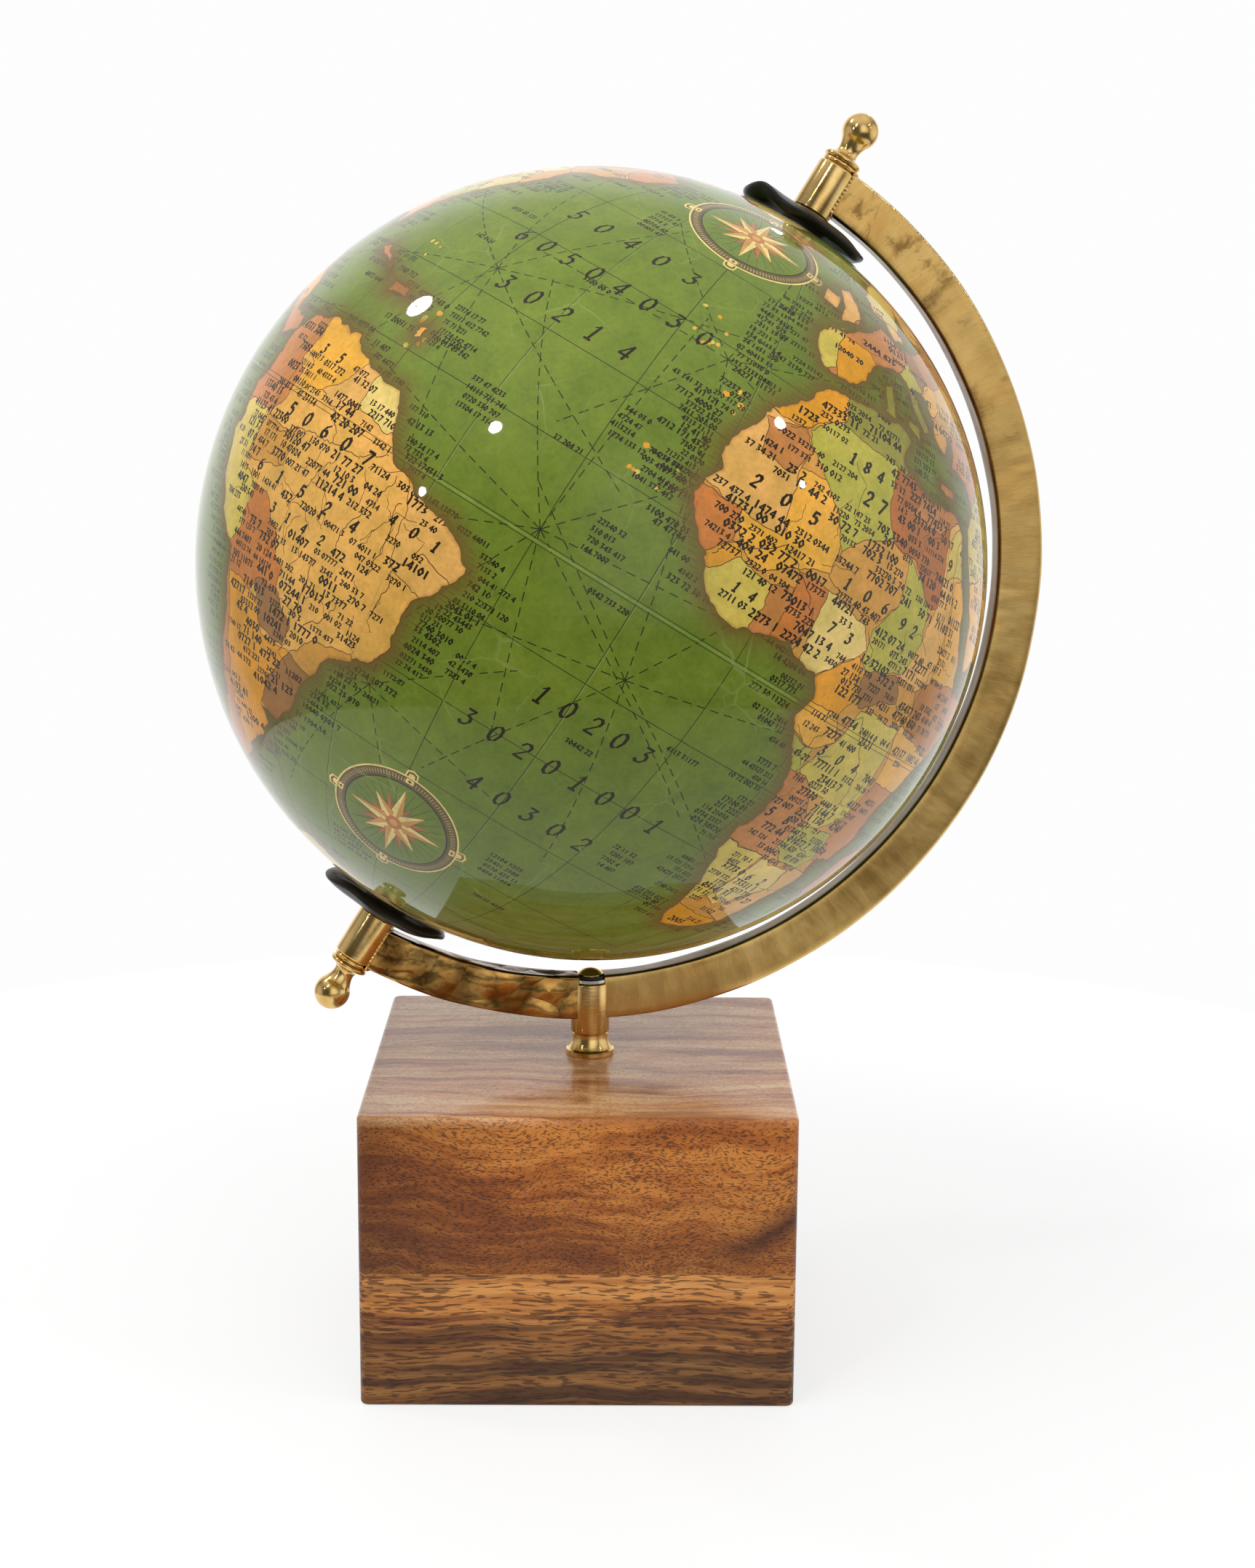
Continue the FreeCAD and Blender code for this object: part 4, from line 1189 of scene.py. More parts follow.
# South America
region(ROSE, (-92, 12), (-80, 12), (-79.5, 5), (-76, 2), (-76, -2), (-80, -5), (-84, -6), (-92, -6))
region(GOLD, (-80, 13), (-64, 13), (-64, 8), (-67, 4.5), (-70, 2), (-75, 0), (-75, 4), (-79.5, 5))
region(LIGHT_TAN, (-67, 4.5), (-64, 9), (-62, 8), (-62, 2.5), (-66, 1), (-70, 2))
region(PALE, (-62, 9), (-52, 9), (-52, 3.5), (-55.5, 1.5), (-59, 2), (-62, 2.5))
region(YELLOW, (-92, -7), (-83, -3), (-79.5, -4), (-79, -12), (-75, -14.5), (-75, -20), (-76, -24), (-92, -24))
region(RED, (-75, -14), (-71, -14), (-66, -17), (-65, -20), (-63, -21), (-63, -24), (-67, -25), (-70, -27),
       (-75.5, -26), (-78, -23), (-75, -20))
region(BROWN, (-68, -25), (-62, -24), (-59, -28), (-60, -31), (-66, -30))
region(ORANGE, (-78, -28), (-75.5, -26), (-68, -27), (-65, -31), (-58, -31.5), (-63, -37), (-64, -42),
       (-60, -46), (-70, -60), (-76, -50))
region(ROSE, (-90, -24), (-76.5, -24), (-75.5, -28), (-75, -38), (-76, -48), (-78, -60), (-92, -60))
region(BROWN, (-58, -31.5), (-48, -31), (-50, -38), (-60, -44), (-64, -41), (-63, -37))
region(TAN, (-58, -31.5), (-54, -27), (-46, -26), (-44, -31), (-50, -33))
region(TAN, (-79, -5), (-70, -4), (-70, -9), (-75, -11), (-79, -11))
region(LIGHT_TAN, (-50, -1), (-47, -6), (-46, -12), (-40, -14), (-30, -8), (-38, 0))

# Africa
region(ORANGE, (-3, 42), (0, 42), (1.5, 37.5), (-2, 35), (-7, 32), (-12, 31.5), (-16, 36))
region(LIGHT_TAN, (-16, 31), (-7, 32), (-4, 29), (-5, 26), (-4, 17), (-12, 17), (-20, 18), (-20, 28))
region(ROSE, (-13, 30), (-7, 32), (-4, 29), (-6, 25), (-11, 25))
region(GOLD, (-5, 26), (0, 27), (3, 24), (5.5, 21), (6, 16), (1, 15), (-4, 12), (-8, 13), (-10, 17), (-4, 17))
region(LIME, (-2, 35), (1.5, 38), (5, 43), (11, 43), (12, 36.5), (12, 30), (14, 25), (9, 22), (6, 20),
       (4, 23),
       (1, 26), (-4, 29), (-6, 32))
region(BRICK, (12, 43), (17, 38), (22, 34), (28, 36), (28, 20), (25, 20), (20, 24), (14, 25), (12, 30),
       (12, 36.5))
region(TAN, (6, 20), (9, 22), (14, 25), (19, 24), (19, 18), (16, 14), (10, 14.5), (5, 15.5))
region(LIME, (19, 24), (22, 22), (26, 20), (27, 15), (25, 10), (19, 7.5), (16, 8.5), (16, 13), (19, 18))
region(LIGHT_TAN, (28, 36), (36, 33), (40, 25), (42, 17), (36, 14), (30, 9), (25, 10), (27, 15), (28, 20))
region(ROSE, (36, 14), (43, 16), (54, 13), (50, 3), (40, 2), (34, 4), (30, 9))
region(RED, (-20, 17), (-10, 17), (-9, 13), (-13, 10), (-20, 12))
region(YELLOW, (-9, 12), (-2, 11.5), (-2, 3), (-8, 3), (-13, 8))
region(ORANGE, (-13, 10), (-9, 13), (-7, 12), (-9, 10), (-12, 7.5), (-16, 9))
region(ROSE, (-2, 11.5), (1, 12), (2, 3), (-2, 3))
region(RED, (1, 14.5), (6, 14), (6, 9), (4, 3), (1.5, 4))
region(PALE, (6, 14), (14, 13), (16, 10), (12, 5), (8, 2), (6, 9))
region(ORANGE, (15, 9), (17, 7), (18, 3), (17, 1), (8, 1), (12, 5), (14, 7))
region(BROWN, (18, 8), (25, 9), (27, 6), (20, 3), (18, 5))
region(YELLOW, (21, 3), (31, 4), (32, -7), (33, -10), (27, -15), (25, -9), (20, -10), (17, -7), (20, -2))
region(GOLD, (8, 1), (17, 1), (20, -2), (17, -4), (10, -3))
region(LIME, (10, -3.5), (17, -4), (17, -7), (15, -9), (10, -8))
region(ROSE, (10, -8), (19, -7.5), (22, -10), (25, -12), (25, -21), (12, -20))
region(LIME, (25, -14), (33, -13), (36, -17), (33, -20), (28, -20), (25, -18))
region(ROSE, (33, -4), (44, -4), (44, -18), (35, -18), (33, -11))
region(GOLD, (27, 6), (34, 4), (44, 2), (44, -4), (33, -4), (31, 4))
region(YELLOW, (10, -20), (24, -21), (24, -30), (20, -33), (12, -30))
region(PALE, (24.5, -21), (32, -21), (33, -25), (27, -31), (24, -30))
region(LIGHT_TAN, (32, -20), (40, -20), (38, -28), (34, -34), (28, -32), (33, -25))
region(ORANGE, (17, -32), (22, -33), (33, -34), (38, -40), (20, -42))

# Europe, Asia and the rest
regions_around([(9, 57, LIGHT_TAN), (12, 53, ROSE), (16, 51, LIME), (20, 53, BROWN), (26, 55, ROSE),
                (24, 50, GOLD),
                (27, 46, TAN), (17, 47, OLIVE), (32, 50, LIGHT_TAN), (34, 42, ROSE), (14, 64, YELLOW),
                (25, 65, LIGHT_TAN), (38, 60, BRICK), (50, 64, BRICK), (50, 52, ROSE), (43, 33, YELLOW),
                (46, 24, GOLD), (53, 34, LIME), (62, 32, ROSE), (64, 42, TAN), (66, 55, BRICK),
                (72, 48, OCHRE),
                (78, 27, ORANGE), (76, 18, GOLD), (80, 22, ORANGE), (88, 33, LIGHT_TAN), (84, 44, OCHRE),
                (86, 60, BRICK), (100, 46, YELLOW), (104, 34, ORANGE), (115, 30, ORANGE), (96, 22, ROSE),
                (102, 16, LIME), (107, 13, ROSE), (112, 40, GOLD), (110, 62, BRICK), (126, 48, GOLD),
                (130, 66, TAN), (150, 66, BRICK), (128, 38, ROSE), (168, 66, TAN)])
region(ORANGE, (-12, 53), (-4, 50.5), (3, 50), (6, 48), (3, 44), (0, 41), (-3, 40), (-4.5, 44))
region(YELLOW, (-12, 53), (-4, 50.5), (-4.5, 43), (-8, 40), (-12, 42))
region(ROSE, (0, 55.5), (8, 60), (12, 57), (11, 52), (3, 50), (-4, 50.5))
regions_around([(-150, 65, GOLD), (-128, 62, LIGHT_TAN), (-118, 54, TAN), (-106, 60, ROSE), (-100, 52, GOLD),
                (-92, 50, PALE), (-80, 56, TAN), (-71, 61, ROSE), (-118, 44, LIME), (-118, 37, ROSE),
                (-108, 42, YELLOW), (-104, 35, ORANGE), (-98, 45, TAN), (-95, 38, LIME), (-92, 33, ROSE),
                (-88, 44, YELLOW), (-96, 32, LIGHT_TAN), (-83, 47, TAN),
                (-114, 28, LIME), (-106, 20, YELLOW), (-96, 14, ORANGE), (-90, 8, ROSE)])
regions_around([(119, -24, OCHRE), (120, -31, GOLD), (133, -20, LIGHT_TAN), (134, -29, ROSE),
                (145, -22, YELLOW),
                (147, -32, LIME)])

# rivers and tracks on the land
for course in ([(-78, -6), (-72, -4), (-65, -3.5), (-58, -2.5), (-53, -1)], [(-66, 1), (-63, -1), (-62, -3)],
               [(-66, -14), (-63, -9), (-60, -4)], [(-54, -14), (-53, -8), (-51, -3)],
               [(-46, -18), (-45, -12), (-42, -9), (-37, -10)], [(-58, -17), (-59, -25), (-60, -32),
               (-57, -36)],
               [(-50, -20), (-54, -24), (-58, -27)], [(-49, -15), (-48, -10), (-49, -5)],
               [(-12, 10), (-8, 13), (-3, 16), (2, 14), (5, 10), (6, 5)], [(33, 31), (32, 26), (34, 20),
               (32, 14)],
               [(32, 14), (31, 8), (32, 3)], [(29, -9), (26, -2), (22, 2), (18, -1), (14, -5)],
               [(24, -12), (28, -17), (34, -17)], [(28, -29), (23, -29), (19, -29)], [(15, 13), (18, 9),
               (20, 10)],
               [(-110, 45), (-98, 42), (-92, 38), (-90, 31)], [(73, 32), (70, 27), (67, 25)],
               [(78, 30), (83, 26), (90, 23)], [(100, 30), (108, 31), (119, 32)], [(66, 50), (68, 60),
               (70, 66)],
               [(145, -26), (142, -33), (139, -35)], [(92, 52), (90, 62), (84, 70)],
                [(8, 48), (18, 48), (29, 46)]):
    add_line(roughened(course, 1.4, 0.5, closed=False), 0.22, BROWN_INK, ON_LAND)
for west, south, east, north, count in ((-78, -22, -40, -2, 14), (-70, -26, -46, -12, 10),
                                        (-14, 8, 34, 34, 14),
                                        (14, -30, 34, 0, 12), (-120, 30, -75, 55, 10), (20, 30, 130, 65, 22)):
    for _ in range(count):
        lon, lat = random.uniform(west, east), random.uniform(south, north)
        angle = random.uniform(0, math.tau)
        reach = random.uniform(3, 8)
        course = [(lon, lat),
                  (lon + reach / 2 * math.cos(angle) / narrowing(lat), lat + reach / 2 * math.sin(angle)),
                  (lon + reach * math.cos(angle + 0.4) / narrowing(lat), lat + reach * math.sin(angle + 0.4))]
        add_line(roughened(course, 1.6, 0.6, closed=False), 0.16, BROWN_INK, ON_LAND)

# the equator, a double line over land and sea
for lat in (-0.32, 0.32):
    add_line([(lon, lat) for lon in range(-180, 181, 2)], 0.16, SEA_INK)
add_line([(lon, 0.0) for lon in range(-180, 181, 2)], 0.5, CREASE, AT_SEA)


ROSE_REACH = 9.5            # degrees from a compass rose's middle to its rim
ROSES = [(-31.5, 59), (-29.9, -46.7), (95, -45), (-165, 40), (-120, -40)]


def lone(lon, lat):
    """Whether small marks may be put here, away from the compass roses."""
    return all(math.degrees(on_globe(lon, lat).angle(on_globe(*rose))) >= ROSE_REACH + 2 for rose in ROSES)


# the larger numerals on the land: what they are, from and to which meridian, parallel, height in mm
LAND_NUMERALS = (
    ("50607", -74.5, -57, -3.4, 3.4), ("61524", -75.5, -54, -11.6, 3.0), ("3142", -69, -58, -15.4, 2.4),
    ("205", -11, -1, 20.4, 3.2), ("27", 6.5, 9.5, 27, 3.6), ("184", 2, 8, 31, 3.0), ("106", 8, 16, 15.6, 2.8),
    ("92", 20.5, 23.5, 15, 3.0), ("304", 18, 26, -4.5, 2.6), ("58", 17.5, 21.5, -15, 2.6),
    ("73", 8.5, 12, 9.6, 2.6), ("14", -6.6, -4, 7.6, 2.4), ("62", 26, 29.5, -25, 2.4), ("9", 29, 30, 26, 3.0),
    ("401", -49, -42, -8, 2.6), ("35", -75.5, -71, 5.8, 2.6), ("110", -112, -96, 50, 3.4),
    ("95", -100, -92, 40, 3.2), ("60", 60, 68, 60, 3.6), ("100", 92, 110, 58, 3.6), ("80", 76, 80, 24, 3.2),
    ("105", 98, 112, 32, 3.2), ("130", 124, 140, -25, 3.4))


def crowded(lon, lat, length):
    """Whether a row of small marks would run into the larger numerals on the land."""
    for _, west, east, south, height in LAND_NUMERALS:
        tall = height / DEGREE
        wide = tall * 0.7 / narrowing(south)
        if south - 1.0 < lat < south + tall + 0.4 and lon < east + wide and lon + length > west - 0.5:
            return True
    return False


rows_at = {}                # the rows already placed, by whole degree of latitude


def placed(lon, lat, length):
    """Books the room for a row of small marks, if no other row is there."""
    level = math.floor(lat)
    for near in (level - 1, level, level + 1):
        for other_lon, other_lat, other_length in rows_at.get(near, []):
            if abs(lat - other_lat) < 0.95 and lon < other_lon + other_length and other_lon < lon + length:
                return False
    rows_at.setdefault(level, []).append((lon, lat, length))
    return True


# small rows of marks on the land
row_lat = -56.0
while row_lat < 72:
    row_lon = -180 + random.uniform(0, 3)
    busy = 1.0 if -60 < row_lat < 50 else 0.6
    while row_lon < 180:
        seen = -95 < row_lon < 55
        marks = random.randint(4, 9)
        height = random.choice((1.3, 1.5, 1.9))
        length = row_length(marks, height, row_lat)
        if (random.random() < (0.82 if seen else 0.4) * busy and land_at(row_lon, row_lat)
                and land_at(row_lon + length, row_lat) and not crowded(row_lon, row_lat, length)):
            lat = row_lat + random.uniform(-0.2, 0.2)
            if placed(row_lon, lat, length):
                number_row(row_lon, lat, marks, height, INK, ON_LAND)
        row_lon += length + random.uniform(0.4, 1.6) / narrowing(row_lat)
    row_lat += 1.35

# rows of marks that run out to sea from the coasts
for outline in land_outlines:
    for lon, lat in split_edges(outline, 1.5):
        if abs(lat) > 66 or random.random() < 0.25:
            continue
        marks = random.randint(6, 13)
        height = random.choice((1.15, 1.25, 1.4))
        length = row_length(marks, height, lat)
        shore = random.uniform(1.5, 2.3) / narrowing(lat)
        for start in (lon + shore, lon - shore - length):
            if (not land_at(start, lat) and not land_at(start + length, lat) and lone(start, lat)
                    and placed(start, lat, length)):
                number_row(start, lat, marks, height, INK, AT_SEA)
                break

# short strokes that darken the water along the coasts
for outline in land_outlines:
    for lon, lat in split_edges(outline, 0.9):
        if abs(lat) > 70:
            continue
        for side in (-1, 1):
            start = lon + side * 0.5 / narrowing(lat)
            if not land_at(start + side * 0.6, lat):
                end = start + side * random.uniform(0.7, 1.6) / narrowing(lat)
                add_line([(start, lat + 0.05), (end, lat)], 0.14, BROWN_INK, AT_SEA)

# patches of marks at sea
for west, north, east, south in ((-22, 47, -14, 33), (-31, 20, -25, 15), (-25, 17, -16, 12),
                                 (-12, -42, -3, -46),
                                 (-50, 13, -42, 8), (-60, 20, -52, 14), (-26, 6, -20, 2),
                                 (-33, -18, -28, -21),
                                 (-18, 60, -10, 54), (-52, 52, -44, 46), (-45, -56, -30, -60),
                                 (2, -30, 8, -34),
                                 (60, 2, 70, -6), (85, -12, 95, -20), (150, 20, 165, 12),
                                 (-140, 40, -128, 34),
                                 (-110, -20, -98, -28), (-170, -30, -155, -38), (60, -35, 72, -42),
                                 (155, 45, 168, 40), (-125, 15, -112, 8), (-160, 10, -146, 4)):
    text_block(west, north, east, south)
for west, lat, east in ((-72, 38, -62), (-70, 31, -60), (-44, -30, -38), (-22, -2, -14), (-36, 12, -30),
                        (-14, -20, -8), (-2, -14, 6), (-28, 28, -20), (-48, 33, -42), (-8, -52, 4)):
    number_row(west, lat, random.randint(8, 16), 1.2, INK, AT_SEA)

# large numerals in widely spaced rows
for text, west, east, lat, height in (
        ("50403", -62, -36, 41.4, 4.5), ("60504030", -64, -28, 33.6, 4.5), ("30214", -58, -36, 25.6, 4.5),
        ("10203", -21, -5, -17.4, 4.5), ("30201001", -28, 3.5, -25.4, 4.5), ("40302", -22.5, -3, -33.4, 4.5),
        ("908070", 60, 92, -28, 4.5), ("60708090", 62, 98, -35, 4.5), ("180170160", 160, 204, 28, 4.5),
        ("15014013", -158, -118, 20, 4.5), ("14013012", -150, -110, -18, 4.5),
        ("120110", -132, -106, -28, 4.5),
        ("13579", 108, 140, 56, 3.0), ("246", 70, 90, 10, 3.5)):
    numerals(text, west, east, lat, height, INK)
for text, west, east, lat, height in LAND_NUMERALS:
    numerals(text, west, east, lat, height, INK, ON_LAND, 0.05)

for lon, lat in ROSES:
    compass_rose(lon, lat, ROSE_REACH * DEGREE, 0.02)

# ---- the print: cut into the gores --------------------------------------------------------

shore_tree = KDTree(len(coast_points))
for index, spot in enumerate(coast_points):
    shore_tree.insert(spot, index)
shore_tree.balance()
SHORE_REACH = 3.6           # degrees over which the shading beside a coast fades


def map_paper():
    """Aged, printed paper under thick clear lacquer."""
    recipe = Recipe("map_paper", Coat_Weight=1.0, Coat_Roughness=0.03, Coat_IOR=1.36, Specular_IOR_Level=0.12)
    ink = recipe.node("Attribute", attribute_name="print")
    printed, paper = ink.outputs["Color"], ink.outputs["Alpha"]
    shore = recipe.attribute("shore", "Fac")
    place = recipe.place()
    clouds = recipe.noise(place, 22.0, 5.0, 0.6)
    mottle = recipe.noise(place, 150.0, 4.0, 0.65)
    speckle = recipe.noise(place, 900.0, 2.0, 0.6)
    share = recipe.sum("MULTIPLY_ADD", clouds, 0.5, recipe.sum("MULTIPLY", mottle, 0.5))
    aged = recipe.ramp(share, (0.32, (0.70, 0.74, 0.58, 1.0)), (0.5, (0.98, 0.98, 0.96, 1.0)),
                       (0.68, (1.32, 1.22, 1.5, 1.0)))
    tone = recipe.mix(1.0, printed, aged, "MULTIPLY")
    tone = recipe.mix(0.4, tone, recipe.ramp(speckle, (0.3, 0.66), (0.6, 1.0)), "MULTIPLY")
    creases = recipe.cells(recipe.warped(place, 60.0, (0.006, 0.006, 0.006)), 62.0, "DISTANCE_TO_EDGE")
    worn = recipe.ramp(recipe.noise(place, 45.0, 2.0), (0.5, 0.0), (0.7, 0.55))
    thin = recipe.sum("MULTIPLY", recipe.ramp(creases, (0.0, 1.0), (0.018, 0.0)), worn)
    tone = recipe.mix(recipe.sum("MULTIPLY", thin, paper), tone, colour(136, 152, 84))
    ragged = recipe.sum("MULTIPLY_ADD", recipe.noise(place, 260.0, 3.0), 0.24,
                        recipe.sum("SUBTRACT", shore, 0.12))
    stain = recipe.ramp(ragged, (0.0, 0.94), (0.2, 0.7), (0.55, 0.34), (1.0, 0.0))
    at_sea = recipe.sum("MULTIPLY", stain, paper)
    tone = recipe.mix(at_sea, tone, colour(102, 78, 32))
    on_land = recipe.sum("MULTIPLY", recipe.ramp(ragged, (0.0, 0.35), (0.12, 0.0)),
                         recipe.sum("SUBTRACT", 1.0, paper))
    tone = recipe.mix(on_land, tone, colour(120, 66, 26))
    recipe.set("Base Color", tone)
    recipe.set("Roughness", recipe.ramp(mottle, (0.3, 0.42), (0.7, 0.6)))
    recipe.set("Normal", recipe.bump(mottle, 0.00005, 0.5))
    ripples = recipe.noise(place, 34.0, 2.0)
    recipe.set("Coat Normal", recipe.bump(ripples, 0.00016, 0.5, recipe.bump(speckle, 0.000004, 0.5)))
    return recipe.material


MAP_PAPER = map_paper()


def meridian_points(west, east, step):
    """A staggered net of places inside a gore, about a step apart on the globe."""
    rows = round(2 * GORE_END / step)
    net = []
    for row in range(1, rows):
        lat = -GORE_END + 2 * GORE_END * row / rows
        across = max(2, round((east - west) * narrowing(lat) / step))
        offset = 0.25 if row % 2 else 0.75
        for k in range(across):
            net.append((west + (east - west) * (k + offset) / across, lat))
    return net


def gore_outline(west, east):
    """A gore's edge, with a point about every degree."""
    corners = [(west, -GORE_END), (east, -GORE_END), (east, GORE_END), (west, GORE_END)]
    outline = []
    for here, after in zip(corners, corners[1:] + corners[:1]):
        pieces = round(max(abs(after[0] - here[0]) * 0.35, abs(after[1] - here[1])))
        for k in range(pieces):
            outline.append((here[0] + (after[0] - here[0]) * k / pieces,
                            here[1] + (after[1] - here[1]) * k / pieces))
    return outline


def covered_by(middles, outline):
    """The indices of the places that are inside an outline."""
    xs = np.array([spot.x for spot in outline])
    ys = np.array([spot.y for spot in outline])
    near = np.nonzero((middles[:, 0] > xs.min()) & (middles[:, 0] < xs.max())
                      & (middles[:, 1] > ys.min()) & (middles[:, 1] < ys.max()))[0]
    x, y = middles[near, 0], middles[near, 1]
    found = np.zeros(len(near), bool)
    for x1, y1, x2, y2 in zip(xs, ys, np.roll(xs, -1), np.roll(ys, -1)):
        if y1 == y2:
            continue
        found ^= ((y1 > y) != (y2 > y)) & (x < x1 + (x2 - x1) * (y - y1) / (y2 - y1))
    return near[found].tolist()


def gore(number):
    """One printed strip as a thin closed sheet, its outer side cut along every outline of the print."""
    name = f"map_gore_{number:02d}"
    west = FIRST_SEAM + 360 / GORES * (number - 1) + SEAM_INSET
    east = west + 360 / GORES - 2 * SEAM_INSET
    spots = []
    outlines = []
    tints = []
    places = []

    def add(outline, tint, where):
        start = len(spots)
        spots.extend(Vector(spot) for spot in outline)
        outlines.append(list(range(start, start + len(outline))))
        tints.append(tint)
        places.append(where)

    add(gore_outline(west, east), SEA, ANYWHERE)
    for turn in (-360, 0, 360):
        for outline, tint, where, low, high in shapes:
            if low + turn < east and high + turn > west:
                add([(lon + turn, lat) for lon, lat in outline], tint, where)
    spots.extend(Vector(spot) for spot in meridian_points(west, east, 1.15))
    found, _, triangles, _, _, owners = delaunay_2d_cdt(spots, [], outlines, 0, 1e-7, True)

    # which shapes cover each triangle: the large ones by testing its middle, the small ones as found
    middles = np.array([[(found[a][axis] + found[b][axis] + found[c][axis]) / 3 for axis in (0, 1)]
                        for a, b, c in triangles])
    covers = [[] for _ in triangles]
    large = [index for index, outline in enumerate(outlines) if len(outline) > 8]
    for index in large:
        for covered in covered_by(middles, [spots[corner] for corner in outlines[index]]):
            covers[covered].append(index)
    large = set(large)
    limits = []
    for outline in outlines:
        corners = [spots[corner] for corner in outline]
        limits.append((min(spot.x for spot in corners), max(spot.x for spot in corners),
                       min(spot.y for spot in corners), max(spot.y for spot in corners)))
    for cover, owner, (x, y) in zip(covers, owners, middles.tolist()):
        for index in owner:
            if index in large:
                continue
            low_x, high_x, low_y, high_y = limits[index]
            if low_x <= x <= high_x and low_y <= y <= high_y:
                cover.append(index)

    kept = []
    corner_tints = []
    for triangle, owner in zip(triangles, covers):
        if 0 not in owner:
            continue
        grounded = any(places[index] == "land" for index in owner)
        shown = max(index for index in owner
                    if places[index] in (ANYWHERE, "land") or (places[index] == ON_LAND) == grounded)
        red, green, blue, _ = tints[shown]
        kept.append(tuple(triangle))
        corner_tints.extend((red, green, blue, 0.0 if grounded else 1.0) * 3)

    used = sorted({corner for triangle in kept for corner in triangle})
    renumbered = {corner: index for index, corner in enumerate(used)}
    points = []
    normals = []
    shores = []
    for corner in used:
        lon, lat = found[corner]
        spot = on_globe(lon, lat)
        normals.append(spot)
        points.append(north_end @ (spot * map_radius))
        away = math.degrees(shore_tree.find(spot)[2])
        shores.append(min(1.0, away / SHORE_REACH))
    faces = [tuple(renumbered[corner] for corner in triangle) for triangle in kept]

    # the back of the paper, joined to the front along its edge
    onward = {}
    edges = {(a, b) for face in faces for a, b in zip(face, face[1:] + face[:1])}
    for a, b in edges:
        if (b, a) not in edges:
            onward[a] = b
    start = next(iter(sorted(onward)))
    loop = [start]
    while onward[loop[-1]] != start:
        loop.append(onward[loop[-1]])
    rim = [tuple(found[used[index]]) for index in loop]
    back_spots = [Vector(spot) for spot in rim + meridian_points(west, east, 6.0)]
    back_found, _, back_faces, back_from, _, _ = delaunay_2d_cdt(back_spots, [], [list(range(len(rim)))], 1,
                                                                1e-7, True)
    first_back = len(points)
    back_of = {}
    for index, (lon, lat) in enumerate(back_found):
        spot = on_globe(lon, lat)
        normals.append(-spot)
        points.append(north_end @ (spot * map_back))
        shores.append(1.0)
        for source in back_from[index]:
            if source < len(rim):
                back_of[source] = first_back + index
    front_count = len(faces)
    faces.extend(tuple(first_back + corner for corner in reversed(face)) for face in back_faces)
    for k, a in enumerate(loop):
        b = loop[(k + 1) % len(loop)]
        faces.append((b, a, back_of[k], back_of[(k + 1) % len(loop)]))

    made = piece(name + "_print", points, faces, MAP_PAPER, "globe", [name])
    mesh = made.data
    plain = (*colour(206, 196, 168)[:3], 0.0)
    corner_tints.extend(number for _ in range(len(mesh.loops) - 3 * front_count) for number in plain)
    layer = mesh.color_attributes.new("print", "FLOAT_COLOR", "CORNER")
    layer.data.foreach_set("color", corner_tints)
    layer = mesh.attributes.new("shore", "FLOAT", "POINT")
    layer.data.foreach_set("value", shores)
    turned = north_end.to_3x3()
    world_normals = [turned @ normal for normal in normals]
    mesh.normals_split_custom_set_from_vertices(world_normals)
    return made


for number in range(1, GORES + 1):
    gore(number)

# ---- studio -------------------------------------------------------------------------------

FLOOR_REACH = 0.4           # metres, to where the lit table ends
floor_mesh = bpy.data.meshes.new("floor")
floor_mesh.from_pydata([(FLOOR_REACH * math.cos(math.tau * k / 96),
                         FLOOR_REACH * math.sin(math.tau * k / 96), 0)
                        for k in range(96)], [], [tuple(range(96))])
floor = bpy.data.objects.new("floor", floor_mesh)
bpy.context.scene.collection.objects.link(floor)
floor_recipe = Recipe("pale_floor", Base_Color=(0.25, 0.25, 0.25, 1.0), Roughness=0.7, Specular_IOR_Level=0.1,
                      Emission_Color=WHITE)
# A glow of its own lifts the shadows, and carries the floor into the white beyond its edge.  What the
# lacquer reflects of it fades towards the front, as the light on the studio's table does.
floor_place = floor_recipe.place()
from_middle = floor_recipe.node("VectorMath", {0: floor_place}, operation="LENGTH").outputs["Value"]
seen_glow = floor_recipe.ramp(floor_recipe.sum("DIVIDE", from_middle, FLOOR_REACH), (0.5, 0.67), (1.0, 0.74))
back = floor_recipe.node("SeparateXYZ", {0: floor_place}).outputs["Y"]
back = floor_recipe.sum("MULTIPLY_ADD", back, 0.5 / FLOOR_REACH, 0.5)
reflected_glow = floor_recipe.ramp(back, (0.06, 0.0), (0.3, 0.67), (1.0, 0.7))
seen = floor_recipe.node("LightPath").outputs["Is Camera Ray"]
glow = floor_recipe.sum("MULTIPLY_ADD", seen, floor_recipe.sum("SUBTRACT", seen_glow, reflected_glow),
                        reflected_glow)
floor_recipe.set("Emission Strength", glow)
floor_mesh.materials.append(floor_recipe.material)


def lamp(name, azimuth, elevation, distance, size, brightness, tall=None, seen=True):
    """A soft lamp seen from the globe's centre at that direction.  Brightness is its own radiance."""
    turn, up = math.radians(azimuth), math.radians(elevation)
    way = Vector((math.cos(up) * math.cos(turn), math.cos(up) * math.sin(turn), math.sin(up)))
    light = bpy.data.lights.new(name, "AREA")
    light.shape = "DISK" if tall is None else "RECTANGLE"
    light.size = size
    if tall is not None:
        light.size_y = tall
    area = math.pi * size ** 2 / 4 if tall is None else size * tall
    light.energy = brightness * area * math.pi
    made = bpy.data.objects.new(name, light)
    bpy.context.scene.collection.objects.link(made)
    made.matrix_world = aimed(globe_centre + way * distance, -way)
    made.visible_glossy = seen
    return made


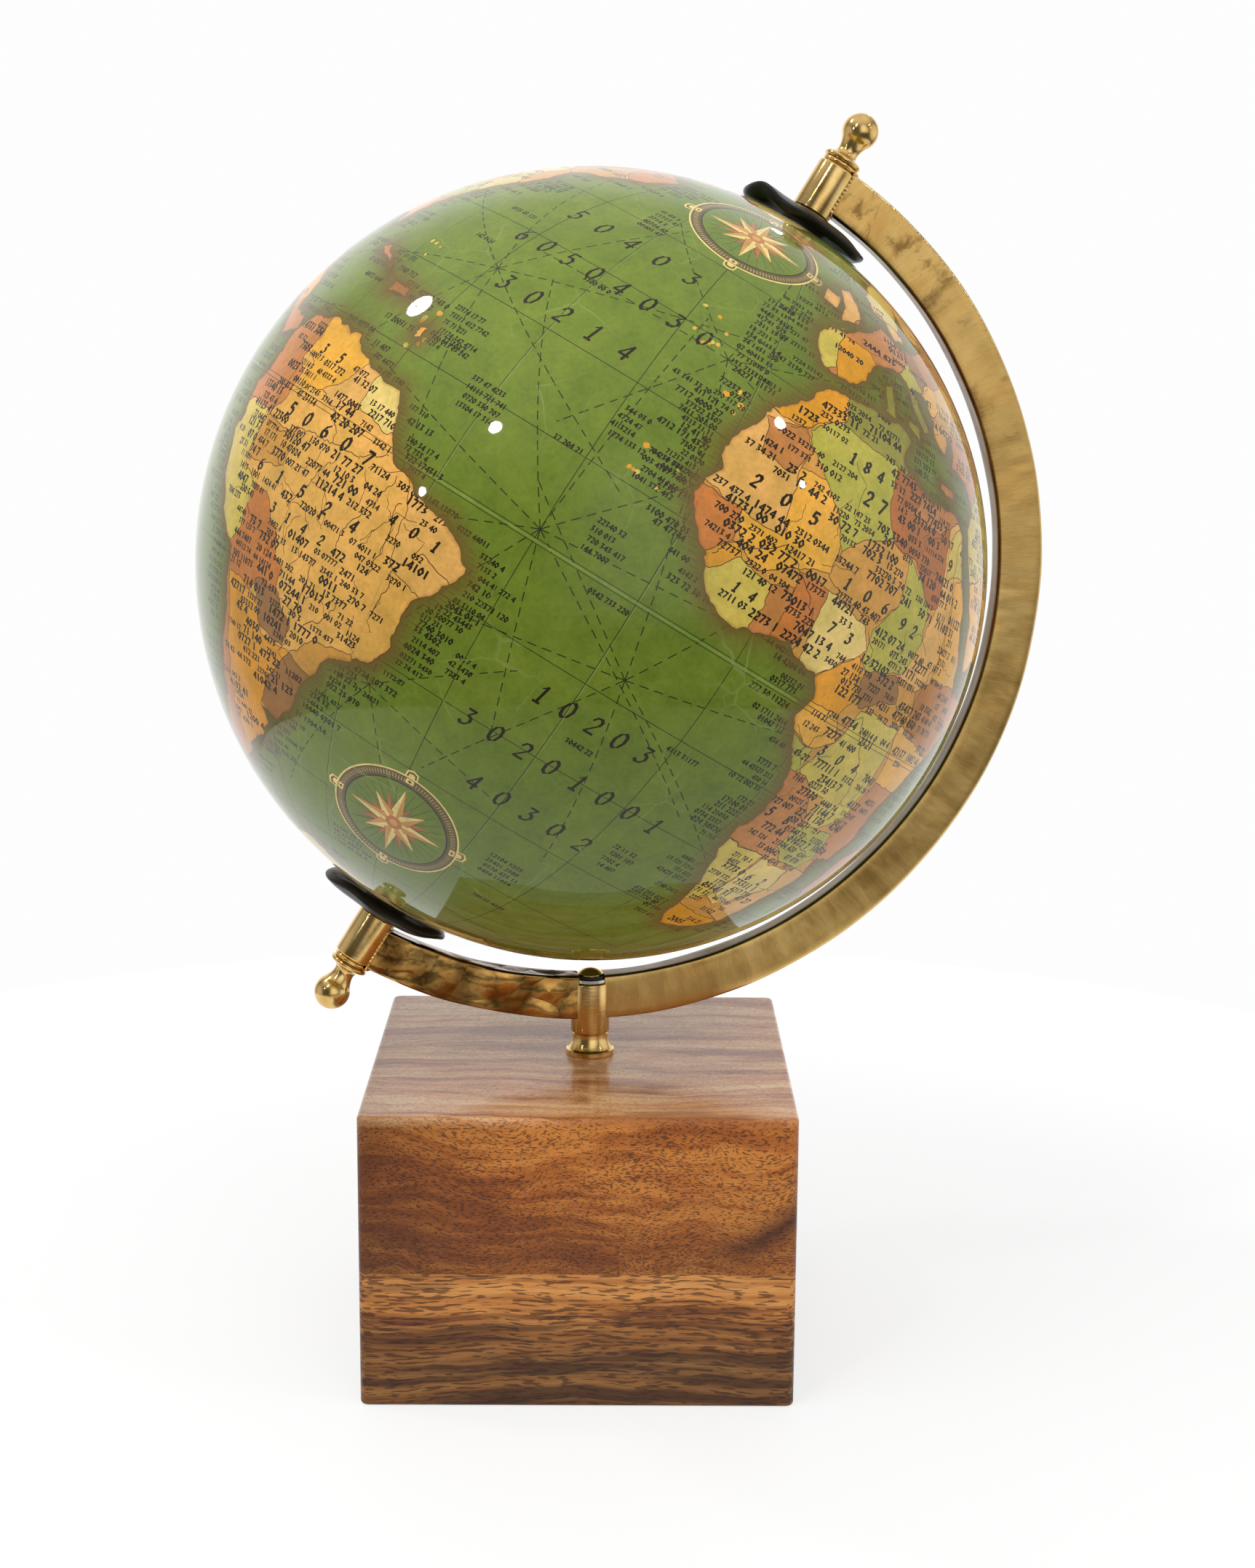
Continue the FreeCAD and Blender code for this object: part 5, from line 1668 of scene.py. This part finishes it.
# two broad softboxes, and the small bare lamps that show as highlights on the lacquer
lamp("softbox_left", -145, 48, 1.8, 1.3, 2.8, tall=1.3, seen=False)
lamp("softbox_front", -80, 42, 2.0, 1.4, 2.0, tall=1.2, seen=False)
lamp("softbox_right", -20, 50, 1.8, 1.0, 1.5, tall=1.0, seen=False)
for name, azimuth, elevation, size, brightness in (
        ("bulb_round", -122.7, 41.4, 0.085, 130), ("bulb_high", 165, 55, 0.15, 60),
        ("bulb_left", -139.1, 22.3, 0.06, 100), ("bulb_right", -24.7, 37.0, 0.08, 60),
        ("bulb_right_low", -26.4, 22.5, 0.05, 70), ("bulb_behind", 66.5, 32.8, 0.05, 40)):
    lamp(name, azimuth, elevation, 1.6, size, brightness)

world = bpy.data.worlds.new("studio")
world.use_nodes = True
bpy.context.scene.world = world
tree = world.node_tree
tree.nodes.clear()


def world_node(kind, inputs, **settings):
    """A node of the world, its inputs given by name or number as values or as other nodes' outputs."""
    made = tree.nodes.new("ShaderNode" + kind)
    for name, value in settings.items():
        setattr(made, name, value)
    for name, value in inputs.items():
        if isinstance(value, bpy.types.NodeSocket):
            tree.links.new(value, made.inputs[name])
        else:
            made.inputs[name].default_value = value
    return made


direction = world_node("SeparateXYZ", {0: world_node("TexCoord", {}).outputs["Generated"]})


def brightening(source, start, end, brightness):
    """Rises from nothing to a brightness as one part of the direction goes from start to end."""
    return world_node("MapRange", {"Value": direction.outputs[source], "From Min": start, "From Max": end,
                                   "To Min": 0.0, "To Max": brightness},
                      interpolation_type="SMOOTHSTEP").outputs["Result"]


def combined(operation, first, second):
    return world_node("Math", {0: first, 1: second}, operation=operation).outputs[0]


# The camera sees a white backdrop.  What the lacquer and brass reflect is a dim room with bright walls.
AMBIENT = 0.12
behind = brightening("Y", 0.35, 0.85, 1.0)
overhead = brightening("Z", 0.35, 0.95, 0.75)
front = combined("MULTIPLY", brightening("Y", -0.5, -0.95, 1.15), brightening("Z", -0.25, 0.05, 1.0))
front = combined("MULTIPLY", front, brightening("X", -0.3, 0.2, 1.0))
sides = combined("MAXIMUM", brightening("X", 0.72, 0.98, 0.9), brightening("X", -0.75, -0.98, 0.5))
brightest = combined("MAXIMUM", combined("MAXIMUM", behind, sides), combined("MAXIMUM", overhead, front))
backdrop = world_node("Background", {"Color": WHITE, "Strength": 0.985})
room = world_node("Background", {"Color": WHITE, "Strength": combined("ADD", brightest, AMBIENT)})
path = world_node("LightPath", {})
choose = world_node("MixShader", {"Fac": path.outputs["Is Camera Ray"], 1: room.outputs[0],
                                  2: backdrop.outputs[0]})
world_node("OutputWorld", {"Surface": choose.outputs[0]})
